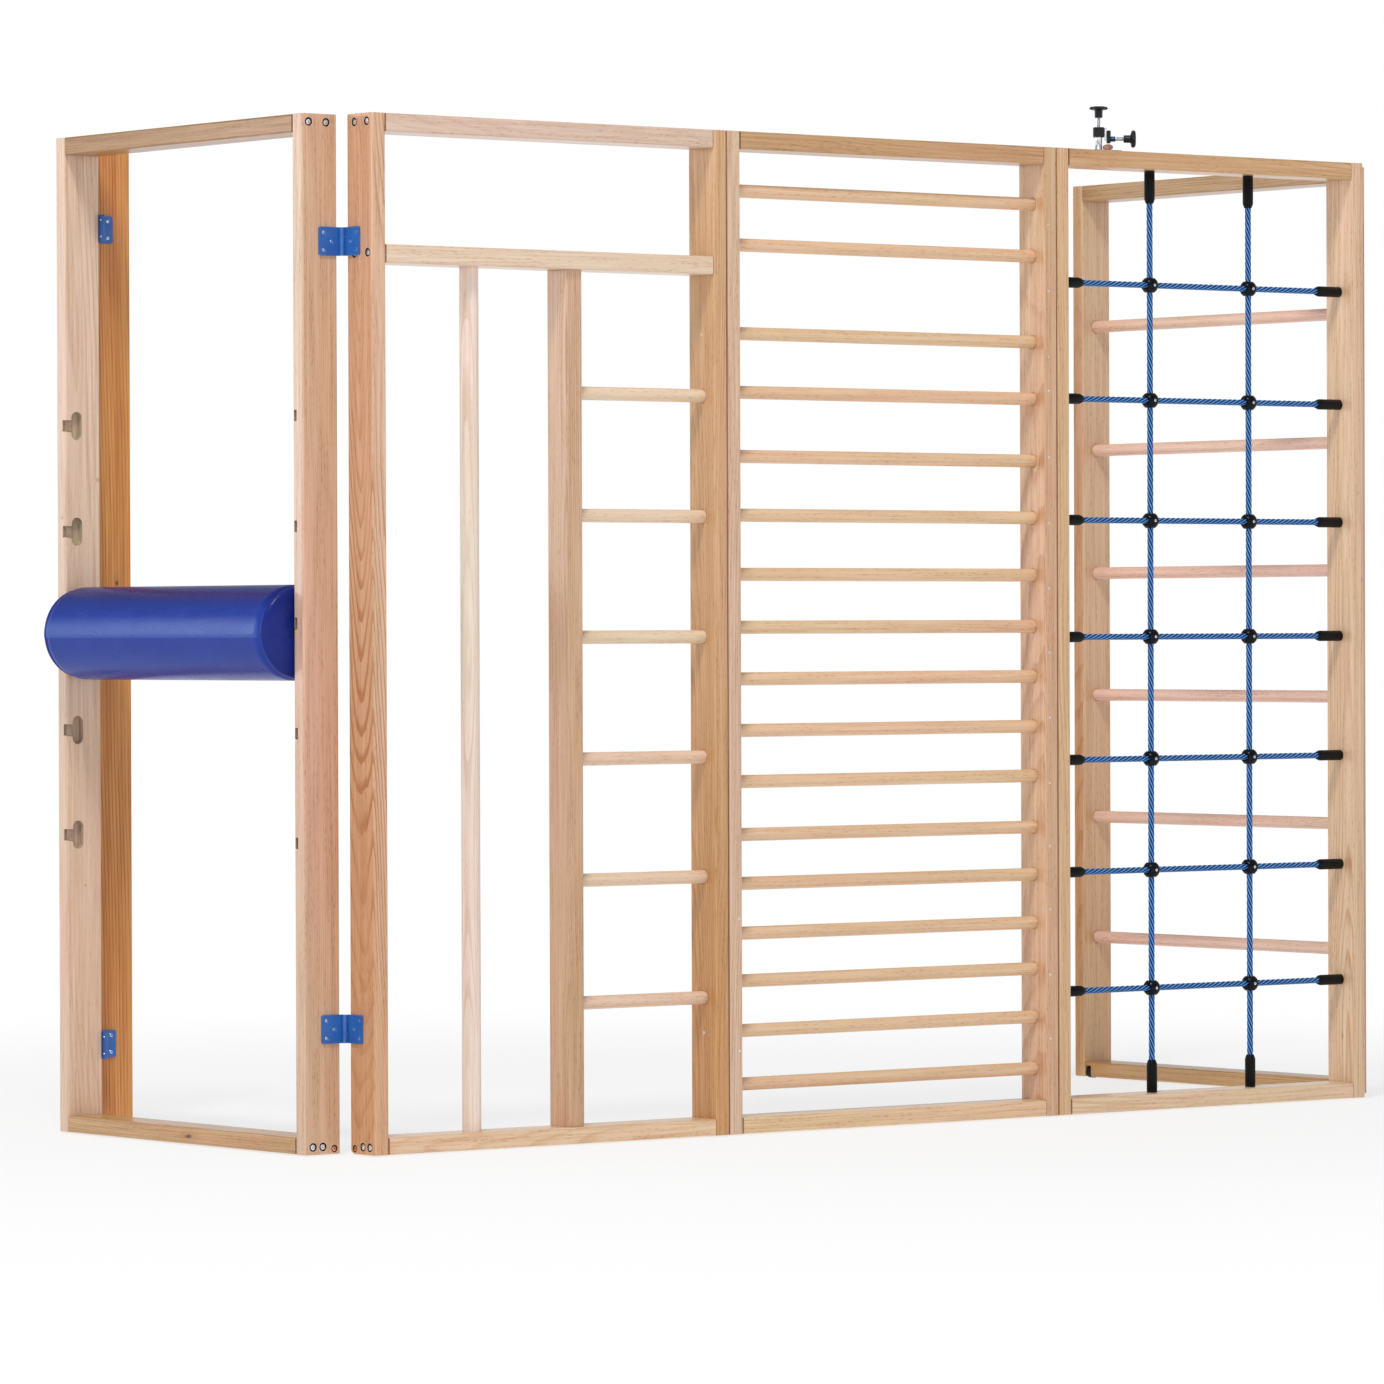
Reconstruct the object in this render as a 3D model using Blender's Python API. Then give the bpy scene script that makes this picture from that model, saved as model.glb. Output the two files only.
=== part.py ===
"""Fold-away wall bars: two posts on a wall, a left wing with a padded roller, a front wall of three
frames (pole and wide rungs, close rungs, rope net), and a right wing with rungs.

Working coordinates are millimetres: x runs along the front wall from its left end, y runs from the
front face of the front wall back to the building wall, z runs up from the floor. ORIGIN, the centre
of the left post's back face, is the model's origin. Each panel has its own coordinates: a along the
panel from its corner hinge (or left end), b from its outer face to its inner face.
"""

import math

import bmesh
import bpy
from mathutils import Vector

# ---- driving dimensions, mm ---------------------------------------------------------------------
HEIGHT = 2250.0  # top of the posts and panels
STILE_T, DEPTH = 38.0, 92.0  # stile section: along the panel, and through it
ARRIS = 5.0  # rounding of the long edges
PANEL_W = 974.0
PANEL_GAP = 0.6  # between the three frames of the front wall
RAIL_H = 40.0
FOOT = 3.0  # floor to the underside of the panels
GAP = 0.3  # between pieces that touch
ROUND = 16  # sides of a rung, journal or knuckle
SOCKET = 14.0  # how far a rung goes into a stile

POST_W, POST_T = 105.0, 38.0
POST_FRONT_Y = 1090.0
POST_LEFT_X, POST_RIGHT_X = -6.5, 2824.7

WING_Y = 107.0  # near end of both wings
LEFT_WING_OUTER_X, RIGHT_WING_OUTER_X = -107.0, 3030.2

HINGE_OFFSET = 8.5  # axis to the face that a leaf lies on
KNUCKLE_R, PIN_R, PIN_BORE_R = 6.3, 3.0, 3.08
LEAF_LEN, LEAF_H, LEAF_T = 57.0, 62.0, 3.0
WALL_HINGE_Z = (2017.0, 165.0)
CORNER_HINGE_Z = (1944.5, 242.0)

MID_RAIL_Z = (1927.0, 1967.5)
MULLION_A, MULLION_W, MULLION_D = 532.0, 42.0, 74.0
POLE_A, POLE_R = 292.0, 21.0
RUNG_R = 15.0
BAR_B = 46.0  # middle of the panel's depth
FRONT_RUNG_Z = (1657.0, 1387.0, 1118.0, 849.0, 581.0, 310.0)
CLOSE_RUNG_Z = (
    2119.0, 1998.0, 1799.0, 1667.0, 1523.0, 1391.0, 1258.0, 1139.0, 1023.0,
    907.0, 792.0, 673.0, 563.0, 451.0, 344.0, 232.0, 112.0,
)
RIGHT_RUNG_Z = (1895.0, 1583.0, 1273.0, 966.0, 658.0, 354.0)

SLOT_Z = (1599.0, 1360.0, 1150.0, 912.0, 675.0)
SLOT_B, SLOT_W, SLOT_H, SLOT_DEEP = 29.0, 28.0, 64.0, 14.0
ARM_TOP, ARM_FRONT_LOW, ARM_BACK_LOW = 13.0, -12.0, -15.0
SHAFT_R, SHAFT_BORE_R = 12.0, 12.08
PAD_R, PAD_EDGE, PAD_END_GAP = 104.5, 30.0, 5.0

ROPE_R, BALL_R = 7.0, 20.0
NET_A = (328.0, 641.0)
NET_Z = (1941.0, 1670.0, 1387.0, 1114.0, 827.0, 565.0, 287.0)
FERRULE_L, FERRULE_TIP_L, FERRULE_WIDE_R, FERRULE_NARROW_R = 77.0, 10.0, 12.5, 8.5

WHEEL_R, WHEEL_W, WHEEL_B = 14.5, 20.0, 76.0
JOURNAL_R, JOURNAL_BORE_R = 4.0, 4.09
NOTCH_W, NOTCH_TOP, NOTCH_B = 24.0, 31.0, 58.0

CLAMP_A, CLAMP_B = 203.0, 92.0
CLAMP_TURN = math.radians(38.0)

ORIGIN = Vector((POST_LEFT_X + POST_W / 2, POST_FRONT_Y + POST_T, HEIGHT / 2))
MM = 0.001

WALL_AXIS = Vector((POST_LEFT_X, POST_FRONT_Y - HINGE_OFFSET, 0))
LEFT_AXIS = Vector((-HINGE_OFFSET, DEPTH + 6.5, 0))
FRONT_W = 3 * PANEL_W + 2 * PANEL_GAP
RIGHT_AXIS = Vector((FRONT_W + HINGE_OFFSET, DEPTH + 6.5, 0))


# ---- panel coordinates --------------------------------------------------------------------------
def left_wing(a, b, z):
    return Vector((LEFT_WING_OUTER_X + b, WING_Y + a, z))


def right_wing(a, b, z):
    return Vector((RIGHT_WING_OUTER_X - b, WING_Y + a, z))


def front(index):
    start = index * (PANEL_W + PANEL_GAP)
    return lambda a, b, z: Vector((start + a, b, z))


def world(x, y, z):
    return Vector((x, y, z))


# ---- helpers ------------------------------------------------------------------------------------
for leftover in list(bpy.data.objects):
    bpy.data.objects.remove(leftover)

COLLECTION = bpy.context.scene.collection


def material(name, colour, roughness, metallic=0.0):
    made = bpy.data.materials.new(name)
    made.use_nodes = True
    shader = next(n for n in made.node_tree.nodes if n.type == "BSDF_PRINCIPLED")
    shader.inputs["Base Color"].default_value = (*colour, 1.0)
    shader.inputs["Roughness"].default_value = roughness
    shader.inputs["Metallic"].default_value = metallic
    made.diffuse_color = (*colour, 1.0)
    return made


PINE = (0.72, 0.52, 0.34)
PALE = (0.80, 0.66, 0.50)
PINK = (0.78, 0.56, 0.43)
AMBER = (0.68, 0.38, 0.14)
BLUE = (0.02, 0.10, 0.42)
BLACK = (0.015, 0.015, 0.017)
STEEL = (0.62, 0.63, 0.65)

EMPTIES = {}


def axis_empty(name, at, parent=None):
    made = bpy.data.objects.new(name, None)
    made.empty_display_size = 0.05
    COLLECTION.objects.link(made)
    made.parent = EMPTIES[parent][0] if parent else None
    base = EMPTIES[parent][1] if parent else ORIGIN
    made.location = (at - base) * MM
    EMPTIES[name] = (made, at.copy())


def finish(name, bm, at, group=None, look=None, helper=False, smooth=None):
    """Makes the object from a bmesh in working millimetres, with its origin at the point `at`."""
    bmesh.ops.recalc_face_normals(bm, faces=bm.faces)
    for vertex in bm.verts:
        vertex.co = (vertex.co - at) * MM
    mesh = bpy.data.meshes.new(name)
    bm.to_mesh(mesh)
    bm.free()
    if smooth:
        mesh.shade_smooth()
        mesh.set_sharp_from_angle(angle=math.radians(smooth))
    made = bpy.data.objects.new(name, mesh)
    COLLECTION.objects.link(made)
    base = ORIGIN
    if group:
        made.parent, base = EMPTIES[group]
    made.location = (at - base) * MM
    if look:
        mesh.materials.append(material(name, *look))
    if helper:
        made.hide_render = True
        made.display_type = "WIRE"
    return made


def rounded(u0, u1, v0, v1, radius, steps=3):
    """Corner-rounded rectangle, as a list of 2-D points."""
    points = []
    for cu, cv, start in (
        (u1 - radius, v1 - radius, 0),
        (u0 + radius, v1 - radius, 90),
        (u0 + radius, v0 + radius, 180),
        (u1 - radius, v0 + radius, 270),
    ):
        for i in range(steps + 1):
            angle = math.radians(start + 90 * i / steps)
            points.append((cu + radius * math.cos(angle), cv + radius * math.sin(angle)))
    return points


def rectangle(u0, u1, v0, v1):
    return [(u1, v1), (u0, v1), (u0, v0), (u1, v0)]


def circle(cu, cv, radius, sides, turn=0.0):
    return [
        (
            cu + radius * math.cos(2 * math.pi * (i + turn) / sides),
            cv + radius * math.sin(2 * math.pi * (i + turn) / sides),
        )
        for i in range(sides)
    ]


def add_prism(bm, profile, place, low, high):
    """Extrudes a 2-D outline from low to high; place(u, v, w) gives the point."""
    bottom = [bm.verts.new(place(u, v, low)) for u, v in profile]
    top = [bm.verts.new(place(u, v, high)) for u, v in profile]
    bm.faces.new(bottom)
    bm.faces.new(top)
    count = len(profile)
    for i in range(count):
        j = (i + 1) % count
        bm.faces.new((bottom[i], bottom[j], top[j], top[i]))


def add_turned(bm, stations, place, sides, lobes=0, hollow=False):
    """Turns (radius, distance, lobe depth) stations about the axis place(0, 0, distance)."""
    rings = []
    for radius, along, depth in stations:
        ring = []
        for i in range(sides):
            angle = 2 * math.pi * i / sides
            r = radius - depth * (1 - math.cos(lobes * angle)) / 2
            ring.append(bm.verts.new(place(r * math.cos(angle), r * math.sin(angle), along)))
        rings.append(ring)
    pairs = list(zip(rings, rings[1:]))
    if hollow:
        pairs.append((rings[-1], rings[0]))
    else:
        bm.faces.new(rings[0])
        bm.faces.new(rings[-1])
    for first, second in pairs:
        for i in range(sides):
            j = (i + 1) % sides
            bm.faces.new((first[i], first[j], second[j], second[i]))


def boolean(made, helper, operation):
    modifier = made.modifiers.new(operation.title(), "BOOLEAN")
    modifier.operation = operation
    modifier.solver = "EXACT"
    modifier.use_self = True
    modifier.object = helper
    return modifier


def along_z(panel):
    return lambda u, v, w: panel(u, v, w)


def along_a(panel):
    return lambda u, v, w: panel(w, u, v)


def along_b(panel):
    return lambda u, v, w: panel(u, w, v)


def cutter(name, shapes, at, group):
    """shapes is a list of (profile, place, low, high)."""
    bm = bmesh.new()
    for shape in shapes:
        add_prism(bm, *shape)
    return finish(name, bm, at, group, helper=True)


# ---- wooden pieces ------------------------------------------------------------------------------
def stile(name, panel, a0, group, colour, cuts=(), b_round=None, round_r=18.0):
    """Upright of a frame. cuts is a list of cutter shapes; b_round is the b of a rounded bottom corner."""
    a1 = a0 + STILE_T
    at = panel(a0 + STILE_T / 2, DEPTH / 2, HEIGHT / 2)
    bm = bmesh.new()
    add_prism(bm, rounded(a0, a1, 0, DEPTH, ARRIS), along_z(panel), FOOT, HEIGHT)
    made = finish(name, bm, at, group, (colour, 0.45), smooth=40)
    if cuts:
        boolean(made, cutter(name + "_cuts", list(cuts), at, group), "DIFFERENCE")
    if b_round is not None:
        side = 1 if b_round > 0 else -1
        centre = (b_round - side * round_r, FOOT + round_r)
        outline = [(b_round + side * 4, FOOT - 4), (b_round + side * 4, centre[1])]
        outline += [
            (centre[0] + side * round_r * math.cos(t), centre[1] - round_r * math.sin(t))
            for t in [math.radians(90 * i / 6) for i in range(7)]
        ]
        outline += [(centre[0], FOOT - 4)]
        boolean(
            made,
            cutter(name + "_corner", [(outline, along_a(panel), a0 - 2, a1 + 2)], at, group),
            "DIFFERENCE",
        )
    return made


def rail(name, panel, z0, z1, group, colour, cuts=()):
    a0, a1 = STILE_T + GAP, PANEL_W - STILE_T - GAP
    at = panel((a0 + a1) / 2, DEPTH / 2, (z0 + z1) / 2)
    bm = bmesh.new()
    add_prism(bm, rounded(0, DEPTH, z0, z1, 4.0), along_a(panel), a0, a1)
    made = finish(name, bm, at, group, (colour, 0.45), smooth=40)
    if cuts:
        boolean(made, cutter(name + "_cuts", list(cuts), at, group), "DIFFERENCE")
    return made


def rung(name, panel, z, a0, a1, group, colour, radius=RUNG_R):
    at = panel((a0 + a1) / 2, BAR_B, z)
    bm = bmesh.new()
    add_prism(bm, circle(BAR_B, z, radius, ROUND), along_a(panel), a0, a1)
    return finish(name, bm, at, group, (colour, 0.4), smooth=40)


def sockets(panel, heights, a_face, inward, radius=RUNG_R + GAP):
    """Blind holes for rungs in the face at a_face; inward is +1 or -1, the way into the wood."""
    ends = sorted((a_face - inward * 2, a_face + inward * (SOCKET + 0.6)))
    return [(circle(BAR_B, z, radius, ROUND), along_a(panel), *ends) for z in heights]


def wheel_cuts_stile(panel, a_face, inward):
    ends = sorted((a_face - inward * 2, a_face + inward * 20.5))
    return (circle(WHEEL_B, WHEEL_R, JOURNAL_BORE_R, ROUND), along_a(panel), *ends)


def wheel_cuts_rail(panel, a_face, inward):
    """Notch beside the stile's face at a_face, and the far journal's hole."""
    notch = sorted((a_face - inward * 2, a_face + inward * NOTCH_W))
    hole = sorted((a_face + inward * (NOTCH_W - 2), a_face + inward * (NOTCH_W + 16)))
    return [
        (rectangle(NOTCH_B, DEPTH + 5, FOOT - 5, NOTCH_TOP), along_a(panel), *notch),
        (circle(WHEEL_B, WHEEL_R, JOURNAL_BORE_R, ROUND), along_a(panel), *hole),
    ]


def wheel(name, panel, a_face, inward, group):
    """Small floor wheel in the rail's notch; inward is the way from the stile's face into the rail."""
    centre = a_face + inward * NOTCH_W / 2
    at = panel(centre, WHEEL_B, WHEEL_R)
    half = WHEEL_W / 2
    out = NOTCH_W / 2 + 15
    stations = [
        (JOURNAL_R, -out, 0), (JOURNAL_R, -half, 0), (WHEEL_R - 1.5, -half, 0),
        (WHEEL_R, -half + 1.5, 0), (WHEEL_R, half - 1.5, 0), (WHEEL_R - 1.5, half, 0),
        (JOURNAL_R, half, 0), (JOURNAL_R, out, 0),
    ]
    bm = bmesh.new()
    add_turned(
        bm,
        stations,
        lambda u, v, w: panel(centre + w, WHEEL_B + u, WHEEL_R + v),
        ROUND,
    )
    return finish(name, bm, at, group, (BLACK, 0.5), smooth=40)


# ---- hinges -------------------------------------------------------------------------------------
def leaf(name, axis, z0, along, normal, has_pin, group):
    """Hinge leaf lying on a face. along and normal are unit 2-D vectors: from the axis along the
    leaf, and from the axis to the wood. The leaf with the pin has the two end knuckles."""
    at = Vector((axis.x, axis.y, z0))

    def place(t, n, z):
        return Vector(
            (axis.x + t * along[0] + n * normal[0], axis.y + t * along[1] + n * normal[1], z)
        )

    face = HINGE_OFFSET - GAP
    z1, third = z0 + LEAF_H, LEAF_H / 3
    plate = [(0.3, z0), (0.3, z1)]
    for cz, start in ((z1 - 5, 90), (z0 + 5, 0)):
        for i in range(4):
            angle = math.radians(start - 90 * i / 3)
            plate.append((LEAF_LEN - 5 + 5 * math.cos(angle), cz + 5 * math.sin(angle)))
    bm = bmesh.new()
    add_prism(bm, plate, lambda u, v, w: place(u, w, v), face - LEAF_T, face)
    made = finish(name, bm, at, group, (BLUE, 0.35), smooth=40)

    middle = z0 + LEAF_H / 2
    cuts = [
        (circle(u, v, 3.0, 8), lambda u, v, w: place(u, w, v), face - LEAF_T - 2, face + 2)
        for u, v in ((44.0, middle + 19), (44.0, middle - 19), (24.0, middle))
    ]
    clear = circle(0, 0, KNUCKLE_R + 0.4, ROUND)
    if has_pin:
        cuts.append((clear, place, z0 + third, z1 - third))
    else:
        cuts += [(clear, place, z0 - 2, z0 + third), (clear, place, z1 - third, z1 + 2)]
    boolean(made, cutter(name + "_cuts", cuts, at, group), "DIFFERENCE")

    bm = bmesh.new()
    if has_pin:
        stations = [
            (KNUCKLE_R, z0 + 0.2, 0), (KNUCKLE_R, z0 + third - GAP, 0),
            (PIN_R, z0 + third - GAP, 0), (PIN_R, z1 - third + GAP, 0),
            (KNUCKLE_R, z1 - third + GAP, 0), (KNUCKLE_R, z1 - 0.2, 0),
        ]
        add_turned(bm, stations, place, ROUND)
    else:
        stations = [
            (KNUCKLE_R, z0 + third + GAP, 0), (KNUCKLE_R, z1 - third - GAP, 0),
            (PIN_BORE_R, z1 - third - GAP, 0), (PIN_BORE_R, z0 + third + GAP, 0),
        ]
        add_turned(bm, stations, place, ROUND, hollow=True)
    barrel = finish(name + "_barrel", bm, at, group, helper=True)
    boolean(made, barrel, "UNION")
    return made


# ---- bodies and their axes ----------------------------------------------------------------------
axis_empty("wall_posts_base", Vector((ORIGIN.x, ORIGIN.y, 0)))
axis_empty("left_wing_axis", WALL_AXIS, "wall_posts_base")
axis_empty("front_wall_axis", LEFT_AXIS, "left_wing_axis")
axis_empty("right_wing_axis", RIGHT_AXIS, "front_wall_axis")

# ---- posts on the wall --------------------------------------------------------------------------
for side, x0 in (("left", POST_LEFT_X), ("right", POST_RIGHT_X)):
    bm = bmesh.new()
    add_prism(
        bm, rounded(x0, x0 + POST_W, POST_FRONT_Y, POST_FRONT_Y + POST_T, 3.0), world, 0, HEIGHT
    )
    finish(
        f"wall_post_{side}", bm, Vector((x0 + POST_W / 2, POST_FRONT_Y + POST_T / 2, HEIGHT / 2)),
        "wall_posts_base", (AMBER, 0.4), smooth=40,
    )
for level, z0 in zip(("upper", "lower"), WALL_HINGE_Z):
    leaf(f"wall_hinge_{level}_post_leaf", WALL_AXIS, z0, (1, 0), (0, 1), True, "wall_posts_base")
    leaf(f"wall_hinge_{level}_wing_leaf", WALL_AXIS, z0, (0, -1), (-1, 0), False, "left_wing_axis")

# ---- left wing ----------------------------------------------------------------------------------
INNER_FAR = PANEL_W - STILE_T


def slot_outline(z):
    half, reach = SLOT_W / 2, SLOT_H / 2 - SLOT_W / 2
    outline = [(-4, z + ARM_TOP), (SLOT_B - half, z + ARM_TOP)]
    for i in range(7):
        t = math.radians(180 - 180 * i / 6)
        outline.append((SLOT_B + half * math.cos(t), z + reach + half * math.sin(t)))
    for i in range(13):
        t = math.radians(-180 * i / 12)
        outline.append((SLOT_B + half * math.cos(t), z - reach + half * math.sin(t)))
    outline.append((SLOT_B - half, z + ARM_BACK_LOW))
    outline.append((-4, z + ARM_FRONT_LOW))
    return outline


slots_far = [
    (slot_outline(z), along_a(left_wing), INNER_FAR - 2, INNER_FAR + SLOT_DEEP) for z in SLOT_Z
]
slots_near = [
    (slot_outline(z), along_a(left_wing), STILE_T - SLOT_DEEP, STILE_T + 2) for z in SLOT_Z
]
stile("left_wing_far_stile", left_wing, INNER_FAR, "left_wing_axis", PINE, slots_far)
stile(
    "left_wing_near_stile", left_wing, 0, "left_wing_axis", PINE,
    [*slots_near, wheel_cuts_stile(left_wing, STILE_T, -1)], DEPTH, 6.0,
)
rail("left_wing_top_rail", left_wing, HEIGHT - RAIL_H, HEIGHT, "left_wing_axis", PINE)
rail(
    "left_wing_bottom_rail", left_wing, FOOT, RAIL_H, "left_wing_axis", PINE,
    wheel_cuts_rail(left_wing, STILE_T, 1),
)
for level, z0 in zip(("upper", "lower"), CORNER_HINGE_Z):
    leaf(f"left_corner_hinge_{level}_wing_leaf", LEFT_AXIS, z0, (-1, 0), (0, 1), True, "left_wing_axis")
wheel("left_wing_wheel", left_wing, STILE_T, 1, "left_wing_axis")

# roller: the shaft lies at the foot of the third slots, the pad turns on it
SHAFT_Z = SLOT_Z[2] - SLOT_H / 2 + SHAFT_R + GAP
axis_empty("roller_axis", left_wing(PANEL_W / 2, SLOT_B, SHAFT_Z), "left_wing_axis")
shaft_centre = EMPTIES["roller_axis"][1]


def roller_place(u, v, w):
    return left_wing(w, SLOT_B + u, SHAFT_Z + v)


bm = bmesh.new()
shaft_ends = (STILE_T - SLOT_DEEP + 1.5, INNER_FAR + SLOT_DEEP - 1.5)
add_turned(
    bm,
    [(SHAFT_R - 1.5, shaft_ends[0], 0), (SHAFT_R, shaft_ends[0] + 1.5, 0),
     (SHAFT_R, shaft_ends[1] - 1.5, 0), (SHAFT_R - 1.5, shaft_ends[1], 0)],
    roller_place, 32,
)
finish("roller_shaft", bm, shaft_centre, "roller_axis", (STEEL, 0.3, 1.0), smooth=40)

bm = bmesh.new()
pad_ends = (STILE_T + PAD_END_GAP, INNER_FAR - PAD_END_GAP)
stations = [(SHAFT_BORE_R, pad_ends[0], 0)]
for i in range(4):
    t = math.radians(90 * i / 3)
    stations.append(
        (PAD_R - PAD_EDGE + PAD_EDGE * math.sin(t), pad_ends[0] + PAD_EDGE * (1 - math.cos(t)), 0)
    )
for i in range(4):
    t = math.radians(90 - 90 * i / 3)
    stations.append(
        (PAD_R - PAD_EDGE + PAD_EDGE * math.sin(t), pad_ends[1] - PAD_EDGE * (1 - math.cos(t)), 0)
    )
stations.append((SHAFT_BORE_R, pad_ends[1], 0))
add_turned(bm, stations, roller_place, 32, hollow=True)
finish("roller_pad", bm, shaft_centre, "roller_axis", (BLUE, 0.35), smooth=40)

# ---- front wall, left frame: pole, mullion and six wide rungs -----------------------------------
P2, P3, P4 = front(0), front(1), front(2)
MULLION_FAR = MULLION_A + MULLION_W
FRONT_INNER_RIGHT = PANEL_W - STILE_T
stile(
    "pole_frame_left_stile", P2, 0, "front_wall_axis", PINE,
    [wheel_cuts_stile(P2, STILE_T, -1)], DEPTH, 18.0,
)
stile(
    "pole_frame_right_stile", P2, FRONT_INNER_RIGHT, "front_wall_axis", PINE,
    sockets(P2, FRONT_RUNG_Z, FRONT_INNER_RIGHT, 1),
)
rail("pole_frame_top_rail", P2, HEIGHT - RAIL_H, HEIGHT, "front_wall_axis", PINE)
rail(
    "pole_frame_middle_rail", P2, *MID_RAIL_Z, "front_wall_axis", PINE,
    [(circle(POLE_A, BAR_B, POLE_R + GAP, 24), along_z(P2), MID_RAIL_Z[0] - 2, MID_RAIL_Z[0] + 15)],
)
rail(
    "pole_frame_bottom_rail", P2, FOOT, RAIL_H, "front_wall_axis", PINE,
    [
        *wheel_cuts_rail(P2, STILE_T, 1),
        (circle(POLE_A, BAR_B, POLE_R + GAP, 24), along_z(P2), RAIL_H - 15, RAIL_H + 2),
    ],
)
bm = bmesh.new()
mullion_b = ((DEPTH - MULLION_D) / 2, (DEPTH + MULLION_D) / 2)
add_prism(
    bm, rounded(MULLION_A, MULLION_FAR, *mullion_b, 4.0), along_z(P2), RAIL_H + GAP, MID_RAIL_Z[0] - GAP
)
mullion_at = P2(MULLION_A + MULLION_W / 2, BAR_B, (RAIL_H + MID_RAIL_Z[0]) / 2)
mullion = finish("pole_frame_mullion", bm, mullion_at, "front_wall_axis", (PINE, 0.45), smooth=40)
boolean(
    mullion,
    cutter("pole_frame_mullion_cuts", sockets(P2, FRONT_RUNG_Z, MULLION_FAR, -1), mullion_at, "front_wall_axis"),
    "DIFFERENCE",
)
bm = bmesh.new()
add_prism(bm, circle(POLE_A, BAR_B, POLE_R, 24), along_z(P2), RAIL_H - 14, MID_RAIL_Z[0] + 14)
finish(
    "climbing_pole", bm, P2(POLE_A, BAR_B, (RAIL_H + MID_RAIL_Z[0]) / 2), "front_wall_axis",
    (PALE, 0.4), smooth=40,
)
for number, z in enumerate(FRONT_RUNG_Z, 1):
    rung(
        f"pole_frame_rung_{number}", P2, z, MULLION_FAR - SOCKET, FRONT_INNER_RIGHT + SOCKET,
        "front_wall_axis", PALE,
    )
for level, z0 in zip(("upper", "lower"), CORNER_HINGE_Z):
    leaf(f"left_corner_hinge_{level}_wall_leaf", LEFT_AXIS, z0, (0, -1), (1, 0), False, "front_wall_axis")
    leaf(f"right_corner_hinge_{level}_wall_leaf", RIGHT_AXIS, z0, (0, -1), (-1, 0), True, "front_wall_axis")
wheel("front_left_wheel", P2, STILE_T, 1, "front_wall_axis")

# ---- front wall, middle frame: seventeen rungs glued into the right stile ------------------------
stile(
    "ladder_left_stile", P3, 0, "front_wall_axis", PINE, sockets(P3, CLOSE_RUNG_Z, STILE_T, -1)
)
comb = stile("ladder_right_stile_and_rungs", P3, FRONT_INNER_RIGHT, "front_wall_axis", PINE)
bm = bmesh.new()
for z in CLOSE_RUNG_Z:
    add_prism(
        bm, circle(BAR_B, z, RUNG_R, ROUND), along_a(P3), STILE_T - SOCKET, FRONT_INNER_RIGHT + 10
    )
comb_at = P3(FRONT_INNER_RIGHT + STILE_T / 2, DEPTH / 2, HEIGHT / 2)
boolean(comb, finish("ladder_rungs_shape", bm, comb_at, "front_wall_axis", helper=True), "UNION")
rail("ladder_top_rail", P3, HEIGHT - RAIL_H, HEIGHT, "front_wall_axis", PINE)
rail("ladder_bottom_rail", P3, FOOT, RAIL_H, "front_wall_axis", PINE)

# ---- front wall, right frame: rope net ----------------------------------------------------------
stile("net_frame_left_stile", P4, 0, "front_wall_axis", PINE)
stile(
    "net_frame_right_stile", P4, FRONT_INNER_RIGHT, "front_wall_axis", PINE,
    [wheel_cuts_stile(P4, FRONT_INNER_RIGHT, 1)], DEPTH, 18.0,
)
rail("net_frame_top_rail", P4, HEIGHT - RAIL_H, HEIGHT, "front_wall_axis", PINE)
rail(
    "net_frame_bottom_rail", P4, FOOT, RAIL_H, "front_wall_axis", PINE,
    wheel_cuts_rail(P4, FRONT_INNER_RIGHT, -1),
)
wheel("front_right_wheel", P4, FRONT_INNER_RIGHT, -1, "front_wall_axis")

net_at = P4(PANEL_W / 2, BAR_B, HEIGHT / 2)
low, high = RAIL_H + GAP, HEIGHT - RAIL_H - GAP
left, right = STILE_T + GAP, FRONT_INNER_RIGHT - GAP


def rope_along_z(a, turn=0.0):
    return lambda u, v, w: P4(a + u, BAR_B + v, w)


def rope_along_a(z):
    return lambda u, v, w: P4(w, BAR_B + u, z + v)


def rope_stations(start, end):
    """One rope with a sleeve-shaped ferrule at each end, as one turned outline."""
    return [
        (FERRULE_WIDE_R - 1.5, start, 0), (FERRULE_WIDE_R, start + 1.5, 0),
        (FERRULE_WIDE_R, start + FERRULE_L - FERRULE_TIP_L, 0),
        (FERRULE_NARROW_R, start + FERRULE_L, 0), (ROPE_R, start + FERRULE_L + 1, 0),
        (ROPE_R, end - FERRULE_L - 1, 0), (FERRULE_NARROW_R, end - FERRULE_L, 0),
        (FERRULE_WIDE_R, end - FERRULE_L + FERRULE_TIP_L, 0),
        (FERRULE_WIDE_R, end - 1.5, 0), (FERRULE_WIDE_R - 1.5, end, 0),
    ]


bm = bmesh.new()
add_turned(bm, rope_stations(low, high), rope_along_z(NET_A[0]), 8)
net = finish("rope_net", bm, net_at, "front_wall_axis", (BLUE, 0.7), smooth=40)
bm = bmesh.new()
add_turned(bm, rope_stations(low, high), rope_along_z(NET_A[1]), 8)
for z in NET_Z:
    add_turned(bm, rope_stations(left, right), rope_along_a(z), 8)
helper = finish("net_ropes_shape", bm, net_at, "front_wall_axis", helper=True)
boolean(net, helper, "UNION")
bm = bmesh.new()
for a in NET_A:
    for z in NET_Z:
        centre = P4(a, BAR_B, z)
        stations = []
        for i in range(1, 6):
            t = math.pi * i / 6
            stations.append((BALL_R * math.sin(t), -BALL_R * math.cos(t), 0))
        add_turned(bm, stations, lambda u, v, w, c=centre: c + Vector((u, v, w)), 10)
boolean(net, finish("net_balls_shape", bm, net_at, "front_wall_axis", helper=True), "UNION")

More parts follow.
